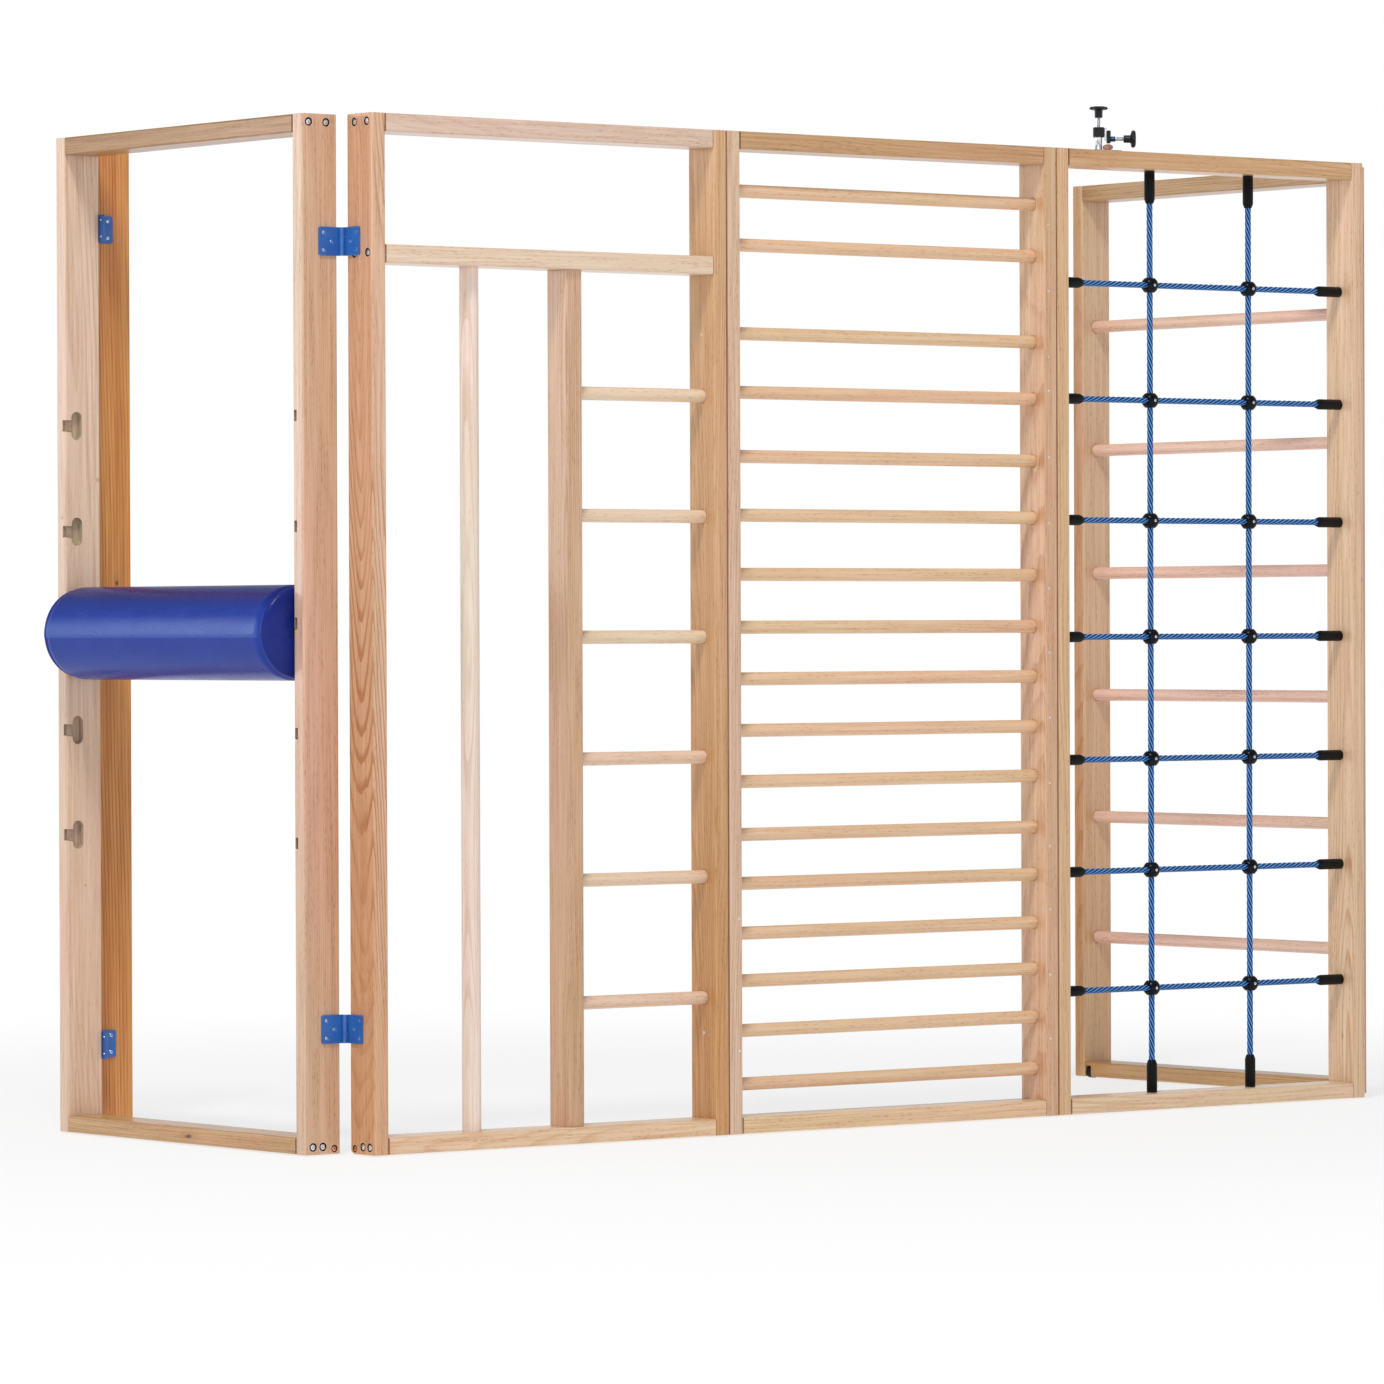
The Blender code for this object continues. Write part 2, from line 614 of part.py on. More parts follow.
# ---- clamp on the net frame's top rail ----------------------------------------------------------
TOP = HEIGHT + GAP
bm = bmesh.new()
add_prism(bm, rounded(CLAMP_A - 24, CLAMP_A + 46, 52, 102, 4.0), along_z(P4), TOP, TOP + 6)
clamp_at = P4(CLAMP_A, CLAMP_B, HEIGHT)
bracket = finish("clamp_bracket", bm, clamp_at, "front_wall_axis", (STEEL, 0.35, 1.0), smooth=40)


def bracket_part(name, profile, place, low_end, high_end):
    shape = bmesh.new()
    add_prism(shape, profile, place, low_end, high_end)
    boolean(bracket, finish(name, shape, clamp_at, "front_wall_axis", helper=True), "UNION")


def clamp(s, t, z):
    """The clamp's upper part stands turned about its tube: s points away from it to the front right."""
    c, n = math.cos(CLAMP_TURN), math.sin(CLAMP_TURN)
    return P4(CLAMP_A + s * c + t * n, CLAMP_B - 8 - s * n + t * c, z)


bracket_part("clamp_tube_shape", circle(0, 0, 8.3, 20), along_z(clamp), TOP + 3, 2290)
bracket_part("clamp_cap_shape", rounded(-13, 13, -13, 13, 3.0), along_z(clamp), 2286, 2309.5)
bracket_part("clamp_plate_shape", rounded(6, 29, 2273, 2307, 4.0), along_b(clamp), -8, 8)
bracket_part("clamp_nut_shape", circle(0, 2282, 7.0, 6), along_a(clamp), 28, 39)
bracket_part("clamp_foot_shape", rounded(6, 35, TOP + 4, 2274, 5.0), along_b(clamp), -9, 9)
bracket_part(
    "clamp_hook_shape", rounded(CLAMP_A - 20, CLAMP_A + 20, 2214, TOP + 5, 3.0), along_b(P4),
    DEPTH + GAP, DEPTH + 6,
)
knob_bores = cutter(
    "clamp_bores",
    [
        (circle(0, 0, 4.09, 24), along_z(clamp), 2284, 2316),
        (circle(0, 2282, 4.69, 24), along_a(clamp), 16, 45),
    ],
    clamp_at, "front_wall_axis",
)
boolean(bracket, knob_bores, "DIFFERENCE")

top_knob_at = clamp(0, 0, 2330)
axis_empty("clamp_top_knob_axis", top_knob_at, "front_wall_axis")
bm = bmesh.new()
add_turned(
    bm,
    [(4, 2285, 0), (4, 2332, 0), (9.5, 2332, 0), (9.5, 2350, 0), (21, 2351, 4),
     (22, 2352, 4), (22, 2357, 4), (20, 2358.5, 4)],
    clamp, 24, lobes=6,
)
finish("clamp_top_knob", bm, top_knob_at, "clamp_top_knob_axis", (BLACK, 0.4), smooth=40)

side_knob_at = clamp(50, 0, 2282)
axis_empty("clamp_side_knob_axis", side_knob_at, "front_wall_axis")
bm = bmesh.new()
add_turned(
    bm,
    [(4.6, 17, 0), (4.6, 58, 0), (9.5, 58.5, 0), (9.5, 75, 0),
     (21, 75.7, 4), (22.5, 77, 4), (22.5, 85, 4), (20, 87, 4)],
    lambda u, v, w: clamp(w, u, 2282 + v), 24, lobes=6,
)
finish("clamp_side_knob", bm, side_knob_at, "clamp_side_knob_axis", (BLACK, 0.4), smooth=40)

# ---- right wing ---------------------------------------------------------------------------------
stile(
    "right_wing_near_stile", right_wing, 0, "right_wing_axis", PINE,
    [*sockets(right_wing, RIGHT_RUNG_Z, STILE_T, -1), wheel_cuts_stile(right_wing, STILE_T, -1)],
    DEPTH, 6.0,
)
stile(
    "right_wing_far_stile", right_wing, INNER_FAR, "right_wing_axis", PINE,
    [*sockets(right_wing, RIGHT_RUNG_Z, INNER_FAR, 1), wheel_cuts_stile(right_wing, INNER_FAR, 1)],
)
rail("right_wing_top_rail", right_wing, HEIGHT - RAIL_H, HEIGHT, "right_wing_axis", PINE)
rail(
    "right_wing_bottom_rail", right_wing, FOOT, RAIL_H, "right_wing_axis", PINE,
    [*wheel_cuts_rail(right_wing, STILE_T, 1), *wheel_cuts_rail(right_wing, INNER_FAR, -1)],
)
for number, z in enumerate(RIGHT_RUNG_Z, 1):
    rung(
        f"right_wing_rung_{number}", right_wing, z, STILE_T - SOCKET, INNER_FAR + SOCKET,
        "right_wing_axis", PINK,
    )
for level, z0 in zip(("upper", "lower"), CORNER_HINGE_Z):
    leaf(f"right_corner_hinge_{level}_wing_leaf", RIGHT_AXIS, z0, (1, 0), (0, 1), False, "right_wing_axis")
wheel("right_wing_near_wheel", right_wing, STILE_T, 1, "right_wing_axis")
wheel("right_wing_far_wheel", right_wing, INNER_FAR, -1, "right_wing_axis")

# the frames hang on their axes; the scene's own units stay metres
bpy.context.view_layer.update()
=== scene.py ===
"""Looks of the fold-away wall bars: lacquered beech frames, blue hinges, padded roller, rope net, clamp.

Working coordinates are the same millimetres as in the construction: x along the front wall from its left
end, y from its front face back to the building wall, z up from the floor. W() turns them into metres.
"""

import math
import random

import bmesh
import bpy
import numpy as np
from mathutils import Matrix, Vector


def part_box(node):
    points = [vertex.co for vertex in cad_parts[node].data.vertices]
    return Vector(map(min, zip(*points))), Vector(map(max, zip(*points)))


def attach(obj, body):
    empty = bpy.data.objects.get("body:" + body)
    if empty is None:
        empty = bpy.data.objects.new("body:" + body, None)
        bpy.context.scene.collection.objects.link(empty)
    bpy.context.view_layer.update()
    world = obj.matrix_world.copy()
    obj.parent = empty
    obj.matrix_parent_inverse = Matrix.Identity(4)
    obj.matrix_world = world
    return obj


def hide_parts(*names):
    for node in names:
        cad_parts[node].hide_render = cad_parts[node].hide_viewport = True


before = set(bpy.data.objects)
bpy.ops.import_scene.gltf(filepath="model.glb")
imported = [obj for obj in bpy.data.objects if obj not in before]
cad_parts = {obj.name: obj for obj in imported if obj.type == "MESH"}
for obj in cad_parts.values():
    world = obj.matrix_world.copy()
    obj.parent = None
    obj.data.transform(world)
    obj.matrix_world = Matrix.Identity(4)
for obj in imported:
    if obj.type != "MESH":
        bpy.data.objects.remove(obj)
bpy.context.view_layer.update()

MM = 0.001
HEIGHT, STILE_T, DEPTH, PANEL_W, GAP = 2250.0, 38.0, 92.0, 974.0, 0.3
RAIL_H, FOOT, SOCKET, RUNG_R, BAR_B = 40.0, 3.0, 14.0, 15.0, 46.0
PITCH_X = 974.6
INNER = PANEL_W - STILE_T
FRONT_RUNG_Z = (1657.0, 1387.0, 1118.0, 849.0, 581.0, 310.0)
CLOSE_RUNG_Z = (
    2119.0, 1998.0, 1799.0, 1667.0, 1523.0, 1391.0, 1258.0, 1139.0, 1023.0,
    907.0, 792.0, 673.0, 563.0, 451.0, 344.0, 232.0, 112.0,
)
RIGHT_RUNG_Z = (1895.0, 1583.0, 1273.0, 966.0, 658.0, 354.0)
SLOT_Z = (1599.0, 1360.0, 1150.0, 912.0, 675.0)
SLOT_B, SLOT_W, SLOT_H, SLOT_DEEP = 29.0, 28.0, 64.0, 14.0
ARM_TOP, ARM_FRONT_LOW, ARM_BACK_LOW = 13.0, -12.0, -15.0
SHAFT_Z = SLOT_Z[2] - SLOT_H / 2 + 12.3
NET_A = (328.0, 641.0)
NET_Z = (1941.0, 1670.0, 1387.0, 1114.0, 827.0, 565.0, 287.0)
MULLION_A, MULLION_FAR = 532.0, 574.0
POLE_A, POLE_R = 292.0, 21.0
MID_RAIL = (1927.0, 1967.5)
WHEEL_R, WHEEL_B, NOTCH_W, NOTCH_TOP, NOTCH_B = 14.5, 76.0, 24.0, 31.0, 58.0
FRONT_W = 3 * PANEL_W + 1.2
WALL_AXIS, LEFT_AXIS, RIGHT_AXIS = (-6.5, 1081.5), (-8.5, 98.5), (FRONT_W + 8.5, 98.5)
CLAMP_A, CLAMP_B = 203.0, 92.0


def W(x, y, z):
    return Vector(((x - 46.0) * MM, (y - 1128.0) * MM, (z - 1125.0) * MM))


def left_wing(a, b, z):
    return (-107.0 + b, 107.0 + a, z)


def right_wing(a, b, z):
    return (3030.2 - b, 107.0 + a, z)


def front(i):
    return lambda a, b, z: (i * PITCH_X + a, b, z)


P2, P3, P4 = front(0), front(1), front(2)


def plain(x, y, z):
    return (x, y, z)


# =================================================================================================
# materials
# =================================================================================================
def srgb(r, g, b):
    """8-bit sRGB to linear."""
    def one(c):
        c /= 255.0
        return c / 12.92 if c <= 0.04045 else ((c + 0.055) / 1.055) ** 2.4
    return (one(r), one(g), one(b), 1.0)


class Tree:
    """A small helper to write a material's nodes."""

    def __init__(self, name):
        self.material = bpy.data.materials.new(name)
        self.material.use_nodes = True
        self.nodes = self.material.node_tree.nodes
        self.links = self.material.node_tree.links
        self.nodes.clear()
        self.out = self.nodes.new("ShaderNodeOutputMaterial")
        self.shader = self.nodes.new("ShaderNodeBsdfPrincipled")
        self.links.new(self.shader.outputs[0], self.out.inputs["Surface"])
        self.coord = None

    def new(self, kind, **settings):
        node = self.nodes.new(kind)
        for key, value in settings.items():
            setattr(node, key, value)
        return node

    def put(self, socket, value):
        if isinstance(value, bpy.types.NodeSocket):
            self.links.new(value, socket)
        elif value is not None:
            socket.default_value = value

    def object_coordinates(self):
        if self.coord is None:
            self.coord = self.new("ShaderNodeTexCoord").outputs["Object"]
        return self.coord

    def math(self, operation, a, b=None, c=None, clamp=False):
        node = self.new("ShaderNodeMath", operation=operation, use_clamp=clamp)
        self.put(node.inputs[0], a)
        self.put(node.inputs[1], b)
        self.put(node.inputs[2], c)
        return node.outputs[0]

    def vector(self, operation, a, b=None):
        node = self.new("ShaderNodeVectorMath", operation=operation)
        self.put(node.inputs[0], a)
        self.put(node.inputs[1], b)
        return node.outputs["Value"] if operation in ("LENGTH", "DOT_PRODUCT", "DISTANCE") else node.outputs[0]

    def split(self, vector):
        node = self.new("ShaderNodeSeparateXYZ")
        self.put(node.inputs[0], vector)
        return node.outputs

    def join(self, x, y, z):
        node = self.new("ShaderNodeCombineXYZ")
        for socket, value in zip(node.inputs, (x, y, z)):
            self.put(socket, value)
        return node.outputs[0]

    def noise(self, vector, scale=1.0, detail=2.0, roughness=0.5, distortion=0.0):
        node = self.new("ShaderNodeTexNoise")
        self.put(node.inputs["Vector"], vector)
        node.inputs["Scale"].default_value = scale
        node.inputs["Detail"].default_value = detail
        node.inputs["Roughness"].default_value = roughness
        node.inputs["Distortion"].default_value = distortion
        return node.outputs["Fac"]

    def noise_colour(self, vector, scale=1.0, detail=2.0):
        node = self.new("ShaderNodeTexNoise")
        self.put(node.inputs["Vector"], vector)
        node.inputs["Scale"].default_value = scale
        node.inputs["Detail"].default_value = detail
        return node.outputs["Color"]

    def voronoi(self, vector, scale=1.0, feature="F1", randomness=1.0):
        node = self.new("ShaderNodeTexVoronoi", feature=feature)
        self.put(node.inputs["Vector"], vector)
        node.inputs["Scale"].default_value = scale
        node.inputs["Randomness"].default_value = randomness
        return node.outputs["Distance"]

    def spread(self, value, low, high, to_low=0.0, to_high=1.0, smooth=False):
        node = self.new("ShaderNodeMapRange")
        if smooth:
            node.interpolation_type = "SMOOTHSTEP"
        self.put(node.inputs["Value"], value)
        node.inputs["From Min"].default_value = low
        node.inputs["From Max"].default_value = high
        node.inputs["To Min"].default_value = to_low
        node.inputs["To Max"].default_value = to_high
        return node.outputs["Result"]

    def mix(self, factor, a, b, blend="MIX"):
        node = self.new("ShaderNodeMix", data_type="RGBA", blend_type=blend)
        self.put(node.inputs[0], factor)
        self.put(node.inputs[6], a)
        self.put(node.inputs[7], b)
        return node.outputs[2]

    def bump(self, height, strength=0.3, distance=0.0004, normal=None):
        node = self.new("ShaderNodeBump")
        node.inputs["Strength"].default_value = strength
        node.inputs["Distance"].default_value = distance
        self.put(node.inputs["Height"], height)
        self.put(node.inputs["Normal"], normal)
        return node.outputs[0]

    def surface(self, colour=None, roughness=None, normal=None, **constants):
        self.put(self.shader.inputs["Base Color"], colour)
        self.put(self.shader.inputs["Roughness"], roughness)
        self.put(self.shader.inputs["Normal"], normal)
        for key, value in constants.items():
            self.shader.inputs[key.replace("_", " ")].default_value = value
        return self.material


AXES = {"x": (1, 2, 0), "y": (2, 0, 1), "z": (0, 1, 2)}


def wood(
    name, axis, pale, deep, seed, middle, ring=0.0052, figure=0.5, streak=0.5, fibre=0.5, flecks=0.6,
    pith=None, tilt=None, low=None, knots=(), edge=None, edge_axis=None, rough=(0.30, 0.46), joints=(),
):
    """Lacquered wood with its grain along one axis. Rings run round a leaning pith line near the board.

    middle is the board's centre in metres; pith is the pith line's distance from it across the board.
    """
    t = Tree(name)
    rnd = random.Random(seed)
    raw = t.object_coordinates()
    xyz = t.split(raw)
    order = AXES[axis]
    first, second, along = (t.math("SUBTRACT", xyz[i], middle[i]) for i in order)
    shift = [rnd.uniform(-3, 3) for _ in range(3)]
    u = t.math("ADD", first, shift[0])
    v = t.math("ADD", second, shift[1])
    w = t.math("ADD", along, shift[2])
    if pith is None:
        pith = (rnd.choice((-1, 1)) * rnd.uniform(0.05, 0.11), rnd.choice((-1, 1)) * rnd.uniform(0.01, 0.05))
    if tilt is None:
        tilt = rnd.choice((-1, 1)) * rnd.uniform(0.01, 0.035)

    def stretched(across, lengthwise):
        return t.join(
            t.math("MULTIPLY", u, across), t.math("MULTIPLY", v, across), t.math("MULTIPLY", w, lengthwise)
        )

    # growth rings: narrow dark late wood, wandering slowly
    wander = t.split(t.noise_colour(stretched(4.0, 1.4), 1.0, 1.0))
    ru = t.math("MULTIPLY_ADD", t.math("SUBTRACT", wander[0], 0.5), 0.034, first)
    rv = t.math("MULTIPLY_ADD", t.math("SUBTRACT", wander[1], 0.5), 0.030, second)
    ru = t.math("ADD", t.math("MULTIPLY_ADD", along, tilt, ru), -pith[0])
    rv = t.math("ADD", rv, -pith[1])
    reach = t.vector("LENGTH", t.join(ru, rv, 0.0))
    uneven = t.noise(stretched(26.0, 2.2), 1.0, 2.0)
    turns = t.math("MULTIPLY_ADD", uneven, 1.1, t.math("DIVIDE", reach, ring))
    saw = t.math("FRACT", turns)
    late = t.math("MULTIPLY", t.spread(saw, 0.50, 0.90, 0, 1, True), t.spread(saw, 1.0, 0.95, 0, 1, True))
    late = t.math("MULTIPLY", late, t.spread(t.noise(stretched(10.0, 1.1), 1.0, 1.0), 0.35, 0.65, 0.25, 1.0))
    # streaks, fibres and the short dark rays of beech
    broad = t.noise(stretched(30.0, 0.8), 1.0, 2.0, 0.55)
    tone = t.noise(stretched(5.0, 1.0), 1.0, 1.0)
    hair = t.noise(stretched(420.0, 7.0), 1.0, 3.0, 0.65)
    mid = t.noise(stretched(150.0, 3.5), 1.0, 2.0, 0.6)
    cell = t.voronoi(stretched(330.0, 44.0), 1.0)
    dash = t.spread(cell, 0.40, 0.16, 0, 1, True)
    dash = t.math("MULTIPLY", dash, t.spread(mid, 0.40, 0.60, 0, 1, True))

    amount = t.math("MULTIPLY", late, figure)
    amount = t.math("MULTIPLY_ADD", t.math("SUBTRACT", broad, 0.5), 1.55 * streak, amount)
    amount = t.math("MULTIPLY_ADD", t.math("SUBTRACT", mid, 0.5), 2.3 * fibre, amount)
    amount = t.math("MULTIPLY_ADD", t.math("SUBTRACT", hair, 0.5), 2.5 * fibre, amount)
    amount = t.math("ADD", amount, 0.34, clamp=True)
    colour = t.mix(amount, pale, deep)
    rosy = t.mix(1.0, colour, (1.03, 0.97, 0.965, 1.0), "MULTIPLY")
    yellow = t.mix(1.0, colour, (0.985, 1.0, 0.93, 1.0), "MULTIPLY")
    colour = t.mix(t.spread(tone, 0.34, 0.66, 0, 1, True), rosy, yellow)
    if edge is not None:
        # the narrow faces, cut across the rings, are of another tone
        normal = t.split(t.new("ShaderNodeTexCoord").outputs["Normal"])
        facing = t.spread(t.math("ABSOLUTE", normal["XYZ".index(edge_axis)]), 0.5, 0.9, 0, 1, True)
        colour = t.mix(facing, colour, t.mix(1.0, colour, edge, "MULTIPLY"))
    if low is not None:
        tint, z_high, z_low = low
        colour = t.mix(
            t.spread(xyz[2], (z_high - 1125) * MM, (z_low - 1125) * MM, 0, 1, True),
            colour, t.mix(1.0, colour, tint, "MULTIPLY"),
        )
    dark = t.mix(1.0, colour, (0.60, 0.46, 0.36, 1.0), "MULTIPLY")
    colour = t.mix(t.math("MULTIPLY", dash, flecks), colour, dark)
    pore = t.math("MULTIPLY", t.spread(hair, 0.36, 0.24, 0, 1, True), min(1.0, flecks))
    colour = t.mix(pore, colour, t.mix(1.0, colour, (0.70, 0.58, 0.48, 1.0), "MULTIPLY"))
    for letter, place, width in joints:
        # painted shade: a dark line where the board meets its neighbour stands in for the shade in the joint
        gap = t.math("ABSOLUTE", t.math("SUBTRACT", xyz["xyz".index(letter)], place))
        line = t.spread(gap, width * MM * 0.5, width * MM, 0.72, 0, True)
        colour = t.mix(line, colour, t.mix(1.0, colour, (0.36, 0.22, 0.15, 1.0), "MULTIPLY"))
    for at, size, stretch in knots:
        away = t.vector("SUBTRACT", raw, tuple(W(*at)))
        scaled = [1.0, 1.0, 1.0]
        scaled["xyz".index(axis)] = 1.0 / stretch
        away = t.vector("MULTIPLY", away, tuple(scaled))
        wobble = t.math("MULTIPLY", t.noise(stretched(300.0, 120.0), 1.0, 2.0), size * MM * 0.9)
        distance = t.math("ADD", t.vector("LENGTH", away), wobble)
        core = t.spread(distance, size * MM * 1.5, size * MM * 0.8, 0, 1, True)
        halo = t.spread(distance, size * MM * 4.5, size * MM * 1.2, 0, 0.55, True)
        colour = t.mix(halo, colour, t.mix(1.0, colour, (0.82, 0.66, 0.50, 1.0), "MULTIPLY"))
        colour = t.mix(core, colour, (0.10, 0.045, 0.02, 1.0))
    roughness = t.spread(hair, 0.3, 0.7, rough[0], rough[1])
    height = t.math("MULTIPLY_ADD", hair, 0.6, t.math("MULTIPLY", mid, 0.5))
    height = t.math("MULTIPLY_ADD", dash, -0.6, height)
    height = t.math("MULTIPLY_ADD", late, -0.3, height)
    return t.surface(
        colour, roughness, t.bump(height, 0.25, 0.0003), Coat_Weight=0.30, Coat_Roughness=0.18,
        Specular_IOR_Level=0.45,
    )


def painted(name, colour, dark, seed=0):
    """Powder-coated steel: fine orange peel, a few rubbed spots."""
    t = Tree(name)
    p = t.object_coordinates()
    peel = t.noise(p, 900.0, 2.0)
    cloud = t.noise(t.vector("ADD", p, (seed, 0, 0)), 26.0, 3.0)
    scratch = t.noise(t.vector("MULTIPLY", p, (90.0, 90.0, 900.0)), 1.0, 2.0)
    tint = t.mix(t.spread(cloud, 0.35, 0.7), colour, dark)
    tint = t.mix(t.spread(scratch, 0.72, 0.80, 0, 0.5), tint, t.mix(1.0, tint, (1.5, 1.45, 1.35, 1), "MULTIPLY"))
    return t.surface(
        tint, t.spread(cloud, 0.3, 0.7, 0.30, 0.46), t.bump(peel, 0.25, 0.0002),
        Coat_Weight=0.25, Coat_Roughness=0.2,
    )


def metal(name, colour, dark, rough=(0.22, 0.42), seed=0.0):
    """Zinc-plated steel: cloudy plating with fine turning marks."""
    t = Tree(name)
    p = t.vector("ADD", t.object_coordinates(), (seed, seed * 0.7, 0))
    cloud = t.noise(p, 180.0, 3.0, 0.6)
    fine = t.noise(t.vector("MULTIPLY", p, (1500.0, 1500.0, 500.0)), 1.0, 2.0)
    spots = t.spread(t.noise(p, 520.0, 2.0), 0.60, 0.72, 0, 0.6)
    tint = t.mix(t.spread(cloud, 0.35, 0.65), colour, dark)
    tint = t.mix(spots, tint, t.mix(1.0, tint, (0.62, 0.6, 0.56, 1), "MULTIPLY"))
    return t.surface(
        tint, t.spread(cloud, 0.3, 0.7, rough[0], rough[1]), t.bump(fine, 0.18, 0.00015), Metallic=1.0
    )


def black_plastic(name, colour, light, grain=1400.0, rough=(0.36, 0.5), seed=0.0, spec=0.14):
    """Moulded black plastic: fine grain, paler where it is rubbed."""
    t = Tree(name)
    p = t.vector("ADD", t.object_coordinates(), (seed, 0, seed))
    grained = t.voronoi(p, grain)
    cloud = t.noise(p, 70.0, 3.0, 0.6)
    tint = t.mix(t.spread(cloud, 0.4, 0.75), colour, light)
    dust = t.spread(t.noise(p, 420.0, 3.0), 0.58, 0.75, 0, 0.35)
    tint = t.mix(dust, tint, (light[0] * 2.0, light[1] * 2.0, light[2] * 2.0, 1))
    return t.surface(
        tint, t.spread(cloud, 0.3, 0.7, rough[0], rough[1]), t.bump(grained, 0.2, 0.0002), Specular_IOR_Level=spec,
    )


def vinyl(name):
    """Coated fabric of the roller: satin shine, with a painted highlight stripe above the seam and painted shade on
    top, on the lower side and at both ends.
    """
    t = Tree(name)
    p = t.object_coordinates()
    pebble = t.noise(p, 260.0, 2.0)
    pores = t.noise(p, 620.0, 2.0)
    cloud = t.noise(p, 7.0, 3.0, 0.6)
    rubbed = t.noise(t.vector("MULTIPLY", p, (22.0, 6.0, 22.0)), 1.0, 4.0, 0.65)
    around = t.split(t.vector("SUBTRACT", p, tuple(W(*left_wing(0.0, SLOT_B, SHAFT_Z)))))
    angle = t.math("ARCTAN2", around[2], t.math("MULTIPLY", around[0], -1.0))
    uneven = t.math("MULTIPLY_ADD", t.math("SUBTRACT", rubbed, 0.5), 0.25, angle)
    tint = t.mix(t.spread(cloud, 0.3, 0.7), srgb(30, 56, 148), srgb(36, 64, 158))
    tint = t.mix(t.spread(rubbed, 0.55, 0.78, 0, 0.25), tint, srgb(58, 86, 172))
    # painted shade: the cover is darkened towards the top of the roller
    dark = t.spread(angle, math.radians(18), math.radians(60), 0, 0.95, True)
    tint = t.mix(dark, tint, t.mix(1.0, tint, (0.36, 0.26, 0.46, 1), "MULTIPLY"))
    # painted shade: the cover is darkened on its lower side as well
    below = t.spread(angle, math.radians(-22), math.radians(-60), 0, 0.4, True)
    tint = t.mix(below, tint, t.mix(1.0, tint, (0.55, 0.50, 0.66, 1), "MULTIPLY"))
    # painted highlight: a pale stripe just above the lengthwise seam, its upper edge made uneven by noise
    painted_highlight_band = t.math(
        "MULTIPLY", t.spread(angle, math.radians(-5.9), math.radians(-5.2), 0, 1),
        t.spread(uneven, math.radians(23), math.radians(6), 0, 1, True),
    )
    near_end, far_end = (107 + STILE_T + 5 - 1128) * MM, (107 + INNER - 5 - 1128) * MM
    y = t.split(p)[1]
    # painted shade: the cover is darkened near both ends
    cap = t.math(
        "MAXIMUM", t.spread(y, near_end + 0.021, near_end + 0.015, 0, 1, True),
        t.spread(y, far_end - 0.021, far_end - 0.015, 0, 1, True),
    )
    # the painted highlight stripe fades out towards the near end
    painted_highlight_band = t.math("MULTIPLY", painted_highlight_band, t.spread(y, near_end + 0.022, near_end + 0.034, 0, 1, True))
    tint = t.mix(t.math("MULTIPLY", painted_highlight_band, 0.52), tint, srgb(74, 104, 182))
    tint = t.mix(t.math("MULTIPLY", cap, 0.75), tint, srgb(24, 34, 112))
    height = t.math("MULTIPLY_ADD", pores, 0.25, pebble)
    rough = t.spread(rubbed, 0.3, 0.7, 0.24, 0.32)
    return t.surface(
        tint, rough, t.bump(height, 0.05, 0.0003), Coat_Weight=0.0, Specular_IOR_Level=0.16,
    )


def rope_fibre(name):
    """Laid rope: yarns along each strand, with painted highlights on the strands' ridges and filaments and painted
    shade down their sides and in the grooves.
    """
    t = Tree(name)
    fibre = t.new("ShaderNodeAttribute", attribute_name="fibre").outputs["Vector"]
    s = t.split(fibre)  # along the strand, across it, depth of the groove
    along_yarn = t.join(
        t.math("MULTIPLY", s[0], 70.0),
        t.math("MULTIPLY_ADD", s[1], 1500.0, t.math("MULTIPLY", s[0], 260.0)),
        0.0,
    )
    yarn = t.noise(along_yarn, 1.0, 2.0, 0.6)
    along_fine = t.join(t.math("MULTIPLY", s[0], 220.0), t.math("MULTIPLY", s[1], 5200.0), 0.0)
    filament = t.noise(along_fine, 1.0, 2.0)
    patch = t.noise(t.object_coordinates(), 55.0, 2.0)
    # painted highlight: pale ridges on the strands, with paler glints where the filaments lie
    crest_painted_light = t.mix(t.spread(yarn, 0.32, 0.68), srgb(62, 128, 196), srgb(134, 188, 232))
    crest_painted_light = t.mix(t.spread(filament, 0.6, 0.8, 0, 0.6), crest_painted_light, srgb(192, 224, 248))
    # painted shade: darker sides of the strands towards the grooves
    flank_painted_shade = t.mix(t.spread(yarn, 0.3, 0.7), srgb(10, 68, 142), srgb(36, 100, 176))
    tint = t.mix(t.spread(s[2], 0.12, 0.50, 0, 1, True), crest_painted_light, flank_painted_shade)
    tint = t.mix(t.spread(patch, 0.45, 0.7, 0, 0.25), tint, srgb(26, 86, 158))
    # painted shade: the bottom of each groove goes nearly black
    tint = t.mix(t.spread(s[2], 0.50, 0.92, 0, 0.96, True), tint, srgb(2, 16, 60))
    height = t.math("MULTIPLY_ADD", filament, 0.4, yarn)
    return t.surface(
        tint, t.spread(yarn, 0.3, 0.7, 0.38, 0.55), t.bump(height, 0.45, 0.0004),
        Sheen_Weight=0.0, Specular_IOR_Level=0.25,
    )


STEEL = metal("zinc_steel", srgb(206, 208, 212), srgb(168, 170, 176))
STEEL_BRIGHT = metal("bright_screw_steel", srgb(246, 248, 252), srgb(216, 220, 228), (0.24, 0.36), 1.3)
